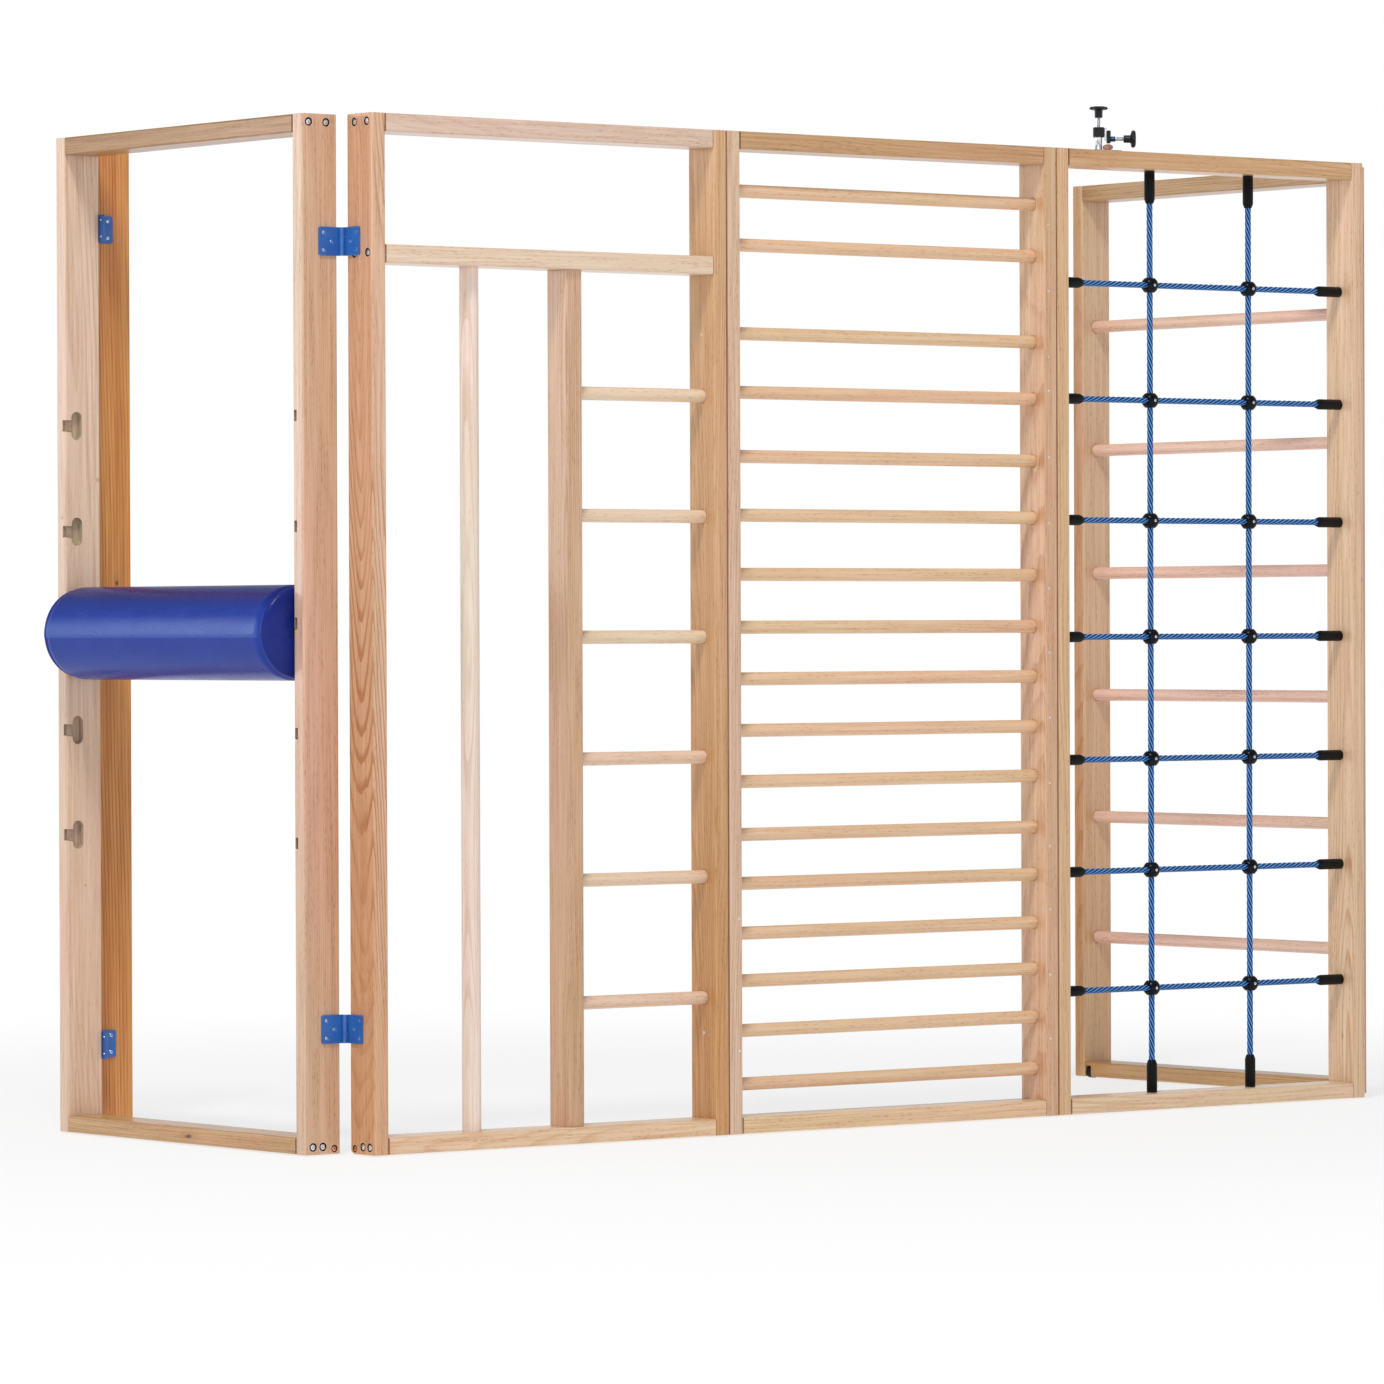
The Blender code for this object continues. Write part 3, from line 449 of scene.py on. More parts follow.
# painted shade: a dark cup lining each bolt counterbore stands in for the shade in the hole; the axle bolts' cup is
# reddish as well as darkened
BOLT_HOLE_SHADE = metal("bolt_hole_painted_shade", srgb(58, 56, 56), srgb(36, 34, 34), (0.45, 0.6), 2.1)
AXLE_HOLE_REDDISH_SHADE = metal("axle_hole_reddish_painted_shade", srgb(120, 50, 26), srgb(70, 30, 18), (0.45, 0.6), 4.4)
SCREW_BLUE = metal("hinge_screw_steel", srgb(216, 236, 254), srgb(160, 196, 236), (0.2, 0.32), 5.2)
COPPER = metal("copper_coloured_axle_bolt", srgb(240, 196, 172), srgb(206, 140, 104), (0.28, 0.42), 0.6)
BLUE_PAINT = painted("hinge_blue_paint", srgb(44, 106, 186), srgb(34, 92, 172))
BLACK_FERRULE = black_plastic("ferrule_black", srgb(9, 10, 11), srgb(18, 19, 21), 900.0, (0.38, 0.52), 0.4)
BLACK_BALL = black_plastic("crossing_black", srgb(8, 10, 15), srgb(18, 22, 30), 700.0, (0.20, 0.34), 0.9)
BLACK_KNOB = black_plastic("knob_black", srgb(16, 18, 22), srgb(36, 40, 48), 1100.0, (0.26, 0.38), 1.7, 0.3)
BLACK_TYRE = black_plastic("wheel_black", srgb(28, 26, 26), srgb(52, 48, 46), 600.0, (0.5, 0.68), 2.3)
GREY_HUB = black_plastic("wheel_hub_grey", srgb(110, 108, 104), srgb(140, 138, 132), 900.0, (0.4, 0.5), 2.9)
BROWN_FOOT = black_plastic("clamp_foot_brown", srgb(150, 108, 84), srgb(188, 150, 124), 500.0, (0.34, 0.5), 3.7)
NUT_BLUE = metal("blued_nut_steel", srgb(72, 96, 128), srgb(40, 56, 84), (0.28, 0.4), 6.1)
KEEPER = black_plastic("slot_keeper_grey_brown", srgb(170, 148, 126), srgb(146, 124, 104), 800.0, (0.5, 0.62), 4.9)
VINYL = vinyl("roller_vinyl_blue")
ROPE = rope_fibre("blue_laid_rope")

BEECH = (srgb(226, 194, 170), srgb(196, 150, 114))
BEECH_PALE = (srgb(234, 210, 192), srgb(214, 180, 152))
BEECH_WARM = (srgb(216, 176, 140), srgb(190, 138, 96))
BEECH_SIDE = (srgb(221, 184, 158), srgb(188, 142, 110))
AMBER = (srgb(214, 154, 86), srgb(176, 100, 34))
RUNG = (srgb(234, 202, 170), srgb(210, 168, 128))
RUNG_PALE = (srgb(236, 212, 190), srgb(216, 184, 152))
RUNG_PINK = (srgb(236, 206, 190), srgb(216, 172, 150))
ASH_POLE = (srgb(240, 226, 216), srgb(220, 198, 182))

# =================================================================================================
# mesh tools
# =================================================================================================
SCENE = bpy.context.scene.collection


def make(name, bm, smooth=35.0, recalc=True):
    if recalc:
        bmesh.ops.recalc_face_normals(bm, faces=bm.faces)
    mesh = bpy.data.meshes.new(name)
    bm.to_mesh(mesh)
    bm.free()
    if smooth:
        mesh.shade_smooth()
        mesh.set_sharp_from_angle(angle=math.radians(smooth))
    made = bpy.data.objects.new(name, mesh)
    SCENE.objects.link(made)
    return made


def mesh_from(name, points, faces, smooth=35.0):
    """A mesh from arrays of points (metres) and faces."""
    mesh = bpy.data.meshes.new(name)
    mesh.from_pydata([tuple(p) for p in points], [], [tuple(f) for f in faces])
    mesh.update()
    if smooth:
        mesh.shade_smooth()
        mesh.set_sharp_from_angle(angle=math.radians(smooth))
    made = bpy.data.objects.new(name, mesh)
    SCENE.objects.link(made)
    return made


def rounded(u0, u1, v0, v1, radius, steps=6):
    points = []
    for cu, cv, start in (
        (u1 - radius, v1 - radius, 0),
        (u0 + radius, v1 - radius, 90),
        (u0 + radius, v0 + radius, 180),
        (u1 - radius, v0 + radius, 270),
    ):
        for i in range(steps + 1):
            angle = math.radians(start + 90 * i / steps)
            points.append((cu + radius * math.cos(angle), cv + radius * math.sin(angle)))
    return points


def circle(cu, cv, radius, sides, turn=0.0):
    return [
        (
            cu + radius * math.cos(2 * math.pi * (i + turn) / sides),
            cv + radius * math.sin(2 * math.pi * (i + turn) / sides),
        )
        for i in range(sides)
    ]


def skin(bm, rings, close=False):
    """Joins rings of equal length with quads; caps the ends unless close."""
    made = [[bm.verts.new(p) for p in ring] for ring in rings]
    count = len(made[0])
    pairs = list(zip(made, made[1:]))
    if close:
        pairs.append((made[-1], made[0]))
    else:
        bm.faces.new(made[0])
        bm.faces.new(made[-1])
    for first, second in pairs:
        for i in range(count):
            j = (i + 1) % count
            bm.faces.new((first[i], first[j], second[j], second[i]))


def add_prism(bm, profile, place, low, high):
    skin(bm, [[W(*place(u, v, low)) for u, v in profile], [W(*place(u, v, high)) for u, v in profile]])


def eased_prism(bm, profile_at, place, low, high, ease=1.0, steps=2):
    """Extrusion whose end edges are rounded; profile_at(inset) gives the outline."""
    lows = []
    for i in range(steps + 1):
        t = math.radians(90 * i / steps)
        lows.append((low + ease * (1 - math.cos(t)), ease * (1 - math.sin(t))))
    highs = [(low + high - at, inset) for at, inset in reversed(lows)]
    skin(bm, [[W(*place(u, v, at)) for u, v in profile_at(inset)] for at, inset in lows + highs])


def add_turned(bm, stations, place, sides, lobes=0, close=False):
    """Turns (radius, distance, lobe depth) stations about place(0, 0, distance)."""
    rings = []
    for station in stations:
        radius, along = station[0], station[1]
        depth = station[2] if len(station) > 2 else 0
        ring = []
        for i in range(sides):
            angle = 2 * math.pi * i / sides
            r = radius - depth * (1 - math.cos(lobes * angle)) / 2
            ring.append(W(*place(r * math.cos(angle), r * math.sin(angle), along)))
        rings.append(ring)
    skin(bm, rings, close)


def cut(target, cutters, operation="DIFFERENCE"):
    """Applies a Boolean with all the cutter shapes as one mesh. cutters is a list of functions of a bmesh."""
    bm = bmesh.new()
    for shape in cutters:
        shape(bm)
    tool = make("cutter_shape", bm, smooth=0)
    modifier = target.modifiers.new("cut", "BOOLEAN")
    modifier.operation = operation
    modifier.solver = "EXACT"
    modifier.use_self = True
    modifier.object = tool
    bpy.context.view_layer.update()
    graph = bpy.context.evaluated_depsgraph_get()
    mesh = bpy.data.meshes.new_from_object(target.evaluated_get(graph))
    target.modifiers.clear()
    old = target.data
    target.data = mesh
    mesh.name = target.name
    bpy.data.meshes.remove(old)
    shape = tool.data
    bpy.data.objects.remove(tool)
    bpy.data.meshes.remove(shape)
    mesh.shade_smooth()
    mesh.set_sharp_from_angle(angle=math.radians(35))
    return target


def even_normals(made):
    modifier = made.modifiers.new("even_normals", "WEIGHTED_NORMAL")
    modifier.mode = "FACE_AREA"
    modifier.weight = 50
    modifier.keep_sharp = True
    return made


def place_on(made, body, look, node=None):
    made.data.materials.clear()
    for one in look if isinstance(look, (list, tuple)) else [look]:
        made.data.materials.append(one)
    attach(made, body)
    if node:
        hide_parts(*([node] if isinstance(node, str) else node))
    return made


# cutter shapes -----------------------------------------------------------------------------------
def prism_cut(profile, place, low, high):
    return lambda bm: add_prism(bm, profile, place, low, high)


def turned_cut(stations, place, sides=24):
    return lambda bm: add_turned(bm, stations, place, sides)


def along_z(panel):
    return lambda u, v, w: panel(u, v, w)


def along_a(panel):
    return lambda u, v, w: panel(w, u, v)


def along_b(panel):
    return lambda u, v, w: panel(u, w, v)


def socket_cut(panel, z, a_face, inward, b=BAR_B, radius=RUNG_R + 0.35):
    """Blind hole for a rung with a slightly broken edge."""
    def place(u, v, w):
        return panel(a_face + inward * w, b + u, z + v)
    return turned_cut([(radius + 0.9, -2, 0), (radius + 0.9, 0.0, 0), (radius, 0.9, 0), (radius, SOCKET + 0.6, 0)], place, 48)


# =================================================================================================
# fasteners: collected for each body, made at the end
# =================================================================================================
BOLTS, COPPERS, SCREWS, HINGE_SCREWS = {}, {}, {}, {}


def frame_of(place_at, normal):
    """A placing function u, v, w with w along the outward normal (working axes)."""
    n = Vector(normal).normalized()
    helper = Vector((0, 0, 1)) if abs(n.z) < 0.9 else Vector((1, 0, 0))
    e1 = helper.cross(n).normalized()
    e2 = n.cross(e1).normalized()
    at = Vector(place_at)
    return lambda u, v, w: tuple(at + e1 * u + e2 * v + n * w)


def counterbore(at, normal, radius=9.2, depth=6.6):
    place = frame_of(at, normal)
    return turned_cut([(radius, -depth), (radius, -0.7), (radius + 0.9, 0.15), (radius + 0.9, 3)], place, 40)


def note_bolt(body, at, normal, copper=False):
    (COPPERS if copper else BOLTS).setdefault(body, []).append((at, normal))


def note_screw(body, at, normal, radius=4.6, turn=0.3, hinge=False):
    (HINGE_SCREWS if hinge else SCREWS).setdefault(body, []).append((at, normal, radius, turn))


def make_fasteners():
    for store, look, hole_shade_look, label, rim, head in (
        (BOLTS, STEEL_BRIGHT, BOLT_HOLE_SHADE, "bolts", 9.1, 6.3), (COPPERS, COPPER, AXLE_HOLE_REDDISH_SHADE, "axle_bolts", 7.8, 5.7),
    ):
        for body, items in store.items():
            bm, shade_cups, sockets = bmesh.new(), bmesh.new(), []
            for number, (at, normal) in enumerate(items):
                place = frame_of(at, normal)
                add_turned(
                    bm,
                    [(0.8, -5.6), (head - 0.6, -5.6), (head, -5.2), (head, -1.9), (head - 0.3, -1.2), (head - 0.9, -0.9), (0.8, -0.9)],
                    place, 32,
                )
                # painted shade: a dark cup lines the counterbore round each head
                add_turned(
                    shade_cups, [(0.5, -6.5), (rim, -6.5), (rim, -0.5), (rim - 0.7, -0.4), (rim - 0.7, -5.7), (0.5, -5.7)],
                    place, 32, close=True,
                )
                sockets.append(prism_cut(circle(0, 0, head * 0.52, 6, 0.2 + 0.37 * number), place, -4.0, 0.5))
            made = make(f"{body}_{label}", bm)
            cut(made, sockets)
            place_on(made, body, look)
            place_on(make(f"{body}_{label}_cups", shade_cups), body, hole_shade_look)
    for store, look, label in ((SCREWS, STEEL_BRIGHT, "screws"), (HINGE_SCREWS, SCREW_BLUE, "hinge_screws")):
        for body, items in store.items():
            bm = bmesh.new()
            crosses = []
            for number, (at, normal, radius, turn) in enumerate(items):
                place = frame_of(at, normal)
                add_turned(
                    bm,
                    [(0.4, -radius * 0.9), (radius * 0.45, -radius * 0.85), (radius - 0.15, -0.35), (radius, -0.1),
                     (radius - 0.25, 0.12), (radius * 0.55, 0.3), (0.4, 0.36)],
                    place, 24,
                )
                angle = turn + number * 0.61
                ca, sa = math.cos(angle), math.sin(angle)
                arm, half = radius * 0.6, radius * 0.15
                plus = [
                    (arm, -half), (arm, half), (half, half), (half, arm), (-half, arm), (-half, half),
                    (-arm, half), (-arm, -half), (-half, -half), (-half, -arm), (half, -arm), (half, -half),
                ]
                plus = [(x * ca - y * sa, x * sa + y * ca) for x, y in plus]
                crosses.append(prism_cut(plus, place, -radius * 0.42, 1.0))
            made = make(f"{body}_{label}", bm)
            cut(made, crosses)
            place_on(made, body, look)


# =================================================================================================
# boards
# =================================================================================================
def board_profile(u0, u1, v0, v1, radius):
    return lambda inset: rounded(u0 + inset, u1 - inset, v0 + inset, v1 - inset, max(radius - inset, 0.6), 6)


def stile(node, body, panel, a0, look, cuts=(), corner=None):
    bm = bmesh.new()
    eased_prism(bm, board_profile(a0, a0 + STILE_T, 0, DEPTH, 5.0), along_z(panel), FOOT, HEIGHT, 1.6)
    made = make(node + "_wood", bm)
    shapes = list(cuts)
    if corner:
        b_edge, radius = corner
        centre = (b_edge - radius, FOOT + radius)
        outline = [(b_edge + 4, FOOT - 4), (b_edge + 4, centre[1])]
        outline += [
            (centre[0] + radius * math.cos(t), centre[1] - radius * math.sin(t))
            for t in [math.radians(90 * i / 10) for i in range(11)]
        ]
        outline += [(centre[0], FOOT - 4)]
        shapes.append(prism_cut(outline, along_a(panel), a0 - 2, a0 + STILE_T + 2))
    if shapes:
        cut(made, shapes)
    even_normals(made)
    return place_on(made, body, look, node)


def rail(node, body, panel, z0, z1, look, cuts=()):
    bm = bmesh.new()
    a0, a1 = STILE_T + GAP, PANEL_W - STILE_T - GAP
    eased_prism(bm, board_profile(0, DEPTH, z0, z1, 4.0), along_a(panel), a0, a1, 1.1)
    made = make(node + "_wood", bm)
    if cuts:
        cut(made, list(cuts))
    even_normals(made)
    return place_on(made, body, look, node)


def rung(name, body, panel, z, a0, a1, look, node=None, seed=0):
    """A turned dowel: very slightly bellied and out of true, as sanded wood is."""
    rnd = random.Random(seed + int(z))
    lean = rnd.uniform(-0.25, 0.25)
    phase = rnd.uniform(0, 6.28)
    rings = []
    count = 26
    for i in range(count + 1):
        w = a0 + (a1 - a0) * i / count
        t = i / count
        swell = 0.12 * math.sin(math.pi * t) - 0.12 + 0.05 * math.sin(9 * t + phase)
        off_b = lean * math.sin(math.pi * t)
        ring = []
        for j in range(48):
            angle = 2 * math.pi * j / 48
            r = RUNG_R - 0.02 + swell * 0.6 + 0.06 * math.cos(2 * angle + phase)
            ring.append(W(*panel(w, BAR_B + off_b * 0.3 + r * math.cos(angle), z + r * math.sin(angle))))
        rings.append(ring)
    bm = bmesh.new()
    skin(bm, rings)
    made = make(name, bm, 40)
    return place_on(made, body, look, node)


def wheel_cuts(panel, a_face, inward):
    notch = sorted((a_face - inward * 2, a_face + inward * NOTCH_W))
    hole = sorted((a_face + inward * (NOTCH_W - 2), a_face + inward * (NOTCH_W + 16)))
    return [
        prism_cut([(DEPTH + 5, NOTCH_TOP), (NOTCH_B, NOTCH_TOP), (NOTCH_B, FOOT - 5), (DEPTH + 5, FOOT - 5)], along_a(panel), *notch),
        prism_cut(circle(WHEEL_B, WHEEL_R, 4.12, 24), along_a(panel), *hole),
    ]


def journal_cut(panel, a_face, inward):
    ends = sorted((a_face - inward * 2, a_face + inward * 20.5))
    return prism_cut(circle(WHEEL_B, WHEEL_R, 4.12, 24), along_a(panel), *ends)


def outer_bolts(body, point, normal, middle=False, axle=True, rails=True):
    """Bolts of the rails in a stile's outer face; point(b, z) is on that face. Returns the counterbores."""
    cuts = []
    places = [(18, 2232), (64, 2232), (20, 19.5), (46, 19.5)]
    if middle:
        places += [(16, 1949), (65, 1949)]
    for b, z in places:
        at = point(b, z)
        note_bolt(body, at, normal)
        cuts.append(counterbore(at, normal))
    if axle:
        at = point(76, 14.5)
        note_bolt(body, at, normal, True)
        cuts.append(counterbore(at, normal, 7.9, 6.5))
    return cuts


# ---- looks of the single boards -----------------------------------------------------------------
seed_of = iter(range(11, 400, 7))


def middle_of(node):
    """Centre of a node of the solid model, in metres."""
    spots = [v.co for v in bpy.data.objects[node].data.vertices]
    return tuple((min(p[i] for p in spots) + max(p[i] for p in spots)) / 2 for i in range(3))


def board_look(node, axis, colours, tag="", **more):
    """Wood for one board, with its rings placed about the board's own middle."""
    # a board that meets a neighbour gets a painted shade line along each joint
    joints = []
    if not tag:
        low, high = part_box(node)
        if node.endswith("_rail"):
            index = "xyz".index(axis)
            joints = [(axis, low[index], 2.4), (axis, high[index], 2.4)]
        elif node in ("pole_frame_right_stile", "ladder_right_stile_and_rungs"):
            joints = [("x", high[0], 2.6)]
        elif node in ("ladder_left_stile", "net_frame_left_stile"):
            joints = [("x", low[0], 2.6)]
    return wood(
        f"wood_{node}{tag}", axis, colours[0], colours[1], next(seed_of), middle_of(node), joints=joints, **more
    )


# =================================================================================================
# posts on the wall
# =================================================================================================
for side, x0 in (("left", -6.5), ("right", 2824.7)):
    bm = bmesh.new()
    eased_prism(bm, board_profile(x0, x0 + 105.0, 1090.0, 1128.0, 3.0), plain, 0, HEIGHT, 1.6)
    post = even_normals(make(f"wall_post_{side}_wood", bm))
    look = board_look(
        f"wall_post_{side}", "z", AMBER, ring=0.0075, figure=0.75, streak=0.85, fibre=0.5, flecks=0.15,
        pith=(0.30, 0.16), tilt=0.02,
        knots=[((60.0, 1090.0, 1245.0), 5.0, 1.6)] if side == "left" else [],
    )
    place_on(post, "wall_posts", look, f"wall_post_{side}")

# =================================================================================================
# left wing
# =================================================================================================
def slot_outline(z, grow=0.0):
    half, reach = SLOT_W / 2 + grow, SLOT_H / 2 - SLOT_W / 2
    outline = [(-4, z + ARM_TOP + grow), (SLOT_B - half, z + ARM_TOP + grow)]
    for i in range(17):
        t = math.radians(180 - 180 * i / 16)
        outline.append((SLOT_B + half * math.cos(t), z + reach + half * math.sin(t)))
    for i in range(17):
        t = math.radians(-180 * i / 16)
        outline.append((SLOT_B + half * math.cos(t), z - reach + half * math.sin(t)))
    outline.append((SLOT_B - half, z + ARM_BACK_LOW - grow))
    outline.append((-4, z + ARM_FRONT_LOW - grow))
    return outline


slots_far = [prism_cut(slot_outline(z), along_a(left_wing), INNER - 2, INNER + SLOT_DEEP) for z in SLOT_Z]
slots_near = [prism_cut(slot_outline(z), along_a(left_wing), STILE_T - SLOT_DEEP, STILE_T + 2) for z in SLOT_Z]

# painted shade: the faces inside the T-slots take a darker, greyer wood than the stile
recess = wood(
    "slot_recess_painted_shade", "z", srgb(202, 182, 160), srgb(152, 130, 110), 5, middle_of("left_wing_far_stile"),
    figure=0.2, streak=0.9, fibre=0.7, flecks=0.3, rough=(0.45, 0.6),
)


def line_recesses(made, low, high):
    """The faces inside the T-slots, between two depths of the wing, take the second material, the wood with painted
    shade.
    """
    made.data.materials.append(recess)
    front = (-107.0 + 0.5 - 46.0) * MM
    back = (-107.0 + SLOT_B + SLOT_W / 2 + 0.5 - 46.0) * MM
    low, high = (107.0 + low - 1128.0) * MM, (107.0 + high - 1128.0) * MM
    for face in made.data.polygons:
        x, y, z = face.center
        if front < x < back and low < y < high:
            if any(abs(z - (level - 1125.0) * MM) < 0.034 for level in SLOT_Z):
                face.material_index = 1


far_stile = stile(
    "left_wing_far_stile", "left_wing", left_wing, INNER,
    board_look(
        "left_wing_far_stile", "z", (srgb(232, 206, 192), srgb(204, 166, 140)), figure=0.60, streak=0.4, flecks=0.3,
        pith=(0.004, 0.075), tilt=0.05, ring=0.0066, low=((0.97, 0.93, 0.86, 1), 1500, 300),
        knots=[((-107.0, 1060.0, 1392.0), 2.2, 1.3), ((-22.0, 1043.0, 1478.0), 1.4, 2.0), ((-60.0, 1043.0, 560.0), 1.3, 1.5)],
    ),
    slots_far + outer_bolts("left_wing", lambda b, z: left_wing(PANEL_W, b, z), (0, 1, 0), axle=False),
)
line_recesses(far_stile, INNER + 0.4, INNER + SLOT_DEEP + 0.2)
near_outer = outer_bolts("left_wing", lambda b, z: left_wing(0, b, z), (0, -1, 0))
near_stile = stile(
    "left_wing_near_stile", "left_wing", left_wing, 0,
    board_look(
        "left_wing_near_stile", "z", BEECH_SIDE, figure=0.30, streak=0.35, pith=(0.16, 0.05), tilt=0.01,
        edge=(1.04, 1.10, 1.18, 1), edge_axis="X",
    ),
    slots_near + near_outer + [journal_cut(left_wing, STILE_T, -1)], corner=(DEPTH, 6.0),
)
line_recesses(near_stile, STILE_T - SLOT_DEEP - 0.2, STILE_T - 0.4)

# flexible keepers that close the arms of the slots, just under the stiles' faces
bm = bmesh.new()
for z in SLOT_Z:
    flap = [(0.9, z + ARM_TOP - 0.4), (0.9, z + ARM_FRONT_LOW + 0.5), (SLOT_B - SLOT_W / 2 + 0.6, z + ARM_BACK_LOW + 0.6), (SLOT_B - SLOT_W / 2 + 0.6, z + ARM_TOP - 0.4)]
    add_prism(bm, flap, along_a(left_wing), INNER + 2.0, INNER + 3.6)
    add_prism(bm, flap, along_a(left_wing), STILE_T - 3.6, STILE_T - 2.0)
keepers = make("slot_keepers", bm, 20)
place_on(keepers, "left_wing", KEEPER)
rail(
    "left_wing_top_rail", "left_wing", left_wing, HEIGHT - RAIL_H, HEIGHT,
    board_look("left_wing_top_rail", "y", (srgb(174, 130, 80), srgb(132, 84, 38)), figure=0.6, streak=0.8),
)
KNOT_LEFT_RAIL = (-107.0, 107.0 + 452.0, 20.0)
rail(
    "left_wing_bottom_rail", "left_wing", left_wing, FOOT, RAIL_H,
    board_look("left_wing_bottom_rail", "y", (srgb(206, 168, 122), srgb(168, 118, 68)), figure=0.5, streak=0.6,
               knots=[(KNOT_LEFT_RAIL, 5.0, 3.4)]),
    wheel_cuts(left_wing, STILE_T, 1),
)

# =================================================================================================
# front wall
# =================================================================================================
stile(
    "pole_frame_left_stile", "front_wall", P2, 0,
    board_look(
        "pole_frame_left_stile", "z", (srgb(224, 184, 152), srgb(182, 128, 88)), figure=0.95, streak=0.3, fibre=0.4,
        ring=0.0062, pith=(0.055, 0.004), tilt=0.075, low=((0.95, 0.86, 0.72, 1), 1500, 100),
        edge=(1.06, 1.16, 1.28, 1), edge_axis="Y",
    ),
    outer_bolts("front_wall", lambda b, z: P2(0, b, z), (-1, 0, 0), middle=True) + [journal_cut(P2, STILE_T, -1)],
    corner=(DEPTH, 18.0),
)
small_in_p2r = [(45.0, 1795.0), (45.0, 232.0)]
for b, z in small_in_p2r:
    note_screw("front_wall", P2(INNER, b, z), (-1, 0, 0), 3.6)
stile(
    "pole_frame_right_stile", "front_wall", P2, INNER,
    board_look(
        "pole_frame_right_stile", "z", (srgb(218, 178, 138), srgb(186, 134, 88)), figure=0.5, streak=0.7,
        low=((0.94, 0.82, 0.60, 1), 1300, 200),
    ),
    [socket_cut(P2, z, INNER, 1) for z in FRONT_RUNG_Z],
)
rail(
    "pole_frame_top_rail", "front_wall", P2, HEIGHT - RAIL_H, HEIGHT,
    board_look("pole_frame_top_rail", "x", (srgb(222, 198, 184), srgb(200, 166, 140)), figure=0.4, streak=0.5),
)
rail(
    "pole_frame_middle_rail", "front_wall", P2, *MID_RAIL,
    board_look("pole_frame_middle_rail", "x", BEECH_PALE, figure=0.35, streak=0.5),
    [prism_cut(circle(POLE_A, BAR_B, POLE_R + 0.35, 48), along_z(P2), MID_RAIL[0] - 2, MID_RAIL[0] + 15)],
)
rail(
    "pole_frame_bottom_rail", "front_wall", P2, FOOT, RAIL_H,
    board_look("pole_frame_bottom_rail", "x", (srgb(236, 210, 178), srgb(206, 162, 120)), figure=0.5, streak=0.6),
    wheel_cuts(P2, STILE_T, 1)
    + [prism_cut(circle(POLE_A, BAR_B, POLE_R + 0.35, 48), along_z(P2), RAIL_H - 15, RAIL_H + 2)],
)
bm = bmesh.new()
eased_prism(
    bm, board_profile(MULLION_A, MULLION_FAR, (DEPTH - 74) / 2, (DEPTH + 74) / 2, 4.0), along_z(P2),
    RAIL_H + GAP, MID_RAIL[0] - GAP, 0.6,
)
mullion = make("pole_frame_mullion_wood", bm)
cut(mullion, [socket_cut(P2, z, MULLION_FAR, -1) for z in FRONT_RUNG_Z])
even_normals(mullion)
place_on(
    mullion, "front_wall",
    board_look("pole_frame_mullion", "z", (srgb(216, 184, 156), srgb(180, 138, 100)), figure=0.7, streak=0.5, ring=0.005,
               low=((0.97, 0.93, 0.84, 1), 1500, 200)),
    "pole_frame_mullion",
)

# the pole: ash, with long open grain
rings = []
for i in range(41):
    w = RAIL_H - 14 + (MID_RAIL[0] + 14 - (RAIL_H - 14)) * i / 40
    ring = []
    for j in range(64):
        angle = 2 * math.pi * j / 64
        r = POLE_R - 0.12 + 0.08 * math.sin(i * 0.9) + 0.05 * math.cos(2 * angle + 1)
        ring.append(W(*P2(POLE_A + r * math.cos(angle), BAR_B + r * math.sin(angle), w)))
    rings.append(ring)
bm = bmesh.new()
skin(bm, rings)
pole = make("climbing_pole_wood", bm, 40)
place_on(
    pole, "front_wall",
    board_look("climbing_pole", "z", ASH_POLE, ring=0.0042, figure=0.9, streak=0.4, fibre=0.6, flecks=0.25, pith=(0.03, 0.02), tilt=0.01),
    "climbing_pole",
)
rung_look = board_look("pole_frame_rung_3", "x", RUNG_PALE, figure=0.3, streak=0.6, fibre=0.5)
for number, z in enumerate(FRONT_RUNG_Z, 1):
    rung(
        f"pole_frame_rung_{number}_wood", "front_wall", P2, z, MULLION_FAR - SOCKET, INNER + SOCKET,
        rung_look, f"pole_frame_rung_{number}", number,
    )

# middle frame
stile(
    "ladder_left_stile", "front_wall", P3, 0,
    board_look("ladder_left_stile", "z", (srgb(226, 196, 174), srgb(192, 150, 118)), figure=0.5, streak=0.6),
    [socket_cut(P3, z, STILE_T, -1) for z in CLOSE_RUNG_Z],
)
for z in (487.0, 191.0):
    note_screw("front_wall", P3(28, 0, z), (0, -1, 0), 3.4)
for z in (2071, 1917, 1765, 1686, 1532, 1379, 1228, 1079, 928, 776, 630, 483, 332, 183):
    note_screw("front_wall", P3(948, 0, float(z)), (0, -1, 0), 3.0)
stile(
    "ladder_right_stile_and_rungs", "front_wall", P3, INNER,
    board_look("ladder_right_stile_and_rungs", "z", (srgb(220, 184, 152), srgb(186, 138, 98)), figure=0.5, streak=0.6),
    [socket_cut(P3, z, INNER, 1) for z in CLOSE_RUNG_Z],
)
ladder_looks = [
    board_look("ladder_right_stile_and_rungs", "x", RUNG, tag=f"_rungs_{k}", figure=0.3, streak=0.65, fibre=0.5) for k in range(3)
]
for number, z in enumerate(CLOSE_RUNG_Z, 1):
    rung(
        f"ladder_rung_{number:02d}_wood", "front_wall", P3, z, STILE_T - SOCKET, INNER + SOCKET,
        ladder_looks[number % 3], None, number * 3,
    )
rail(
    "ladder_top_rail", "front_wall", P3, HEIGHT - RAIL_H, HEIGHT,
    board_look("ladder_top_rail", "x", (srgb(206, 166, 124), srgb(168, 120, 76)), figure=0.6, streak=0.6),
)
rail(
    "ladder_bottom_rail", "front_wall", P3, FOOT, RAIL_H,
    board_look("ladder_bottom_rail", "x", (srgb(234, 204, 168), srgb(204, 158, 114)), figure=0.5, streak=0.6),
)

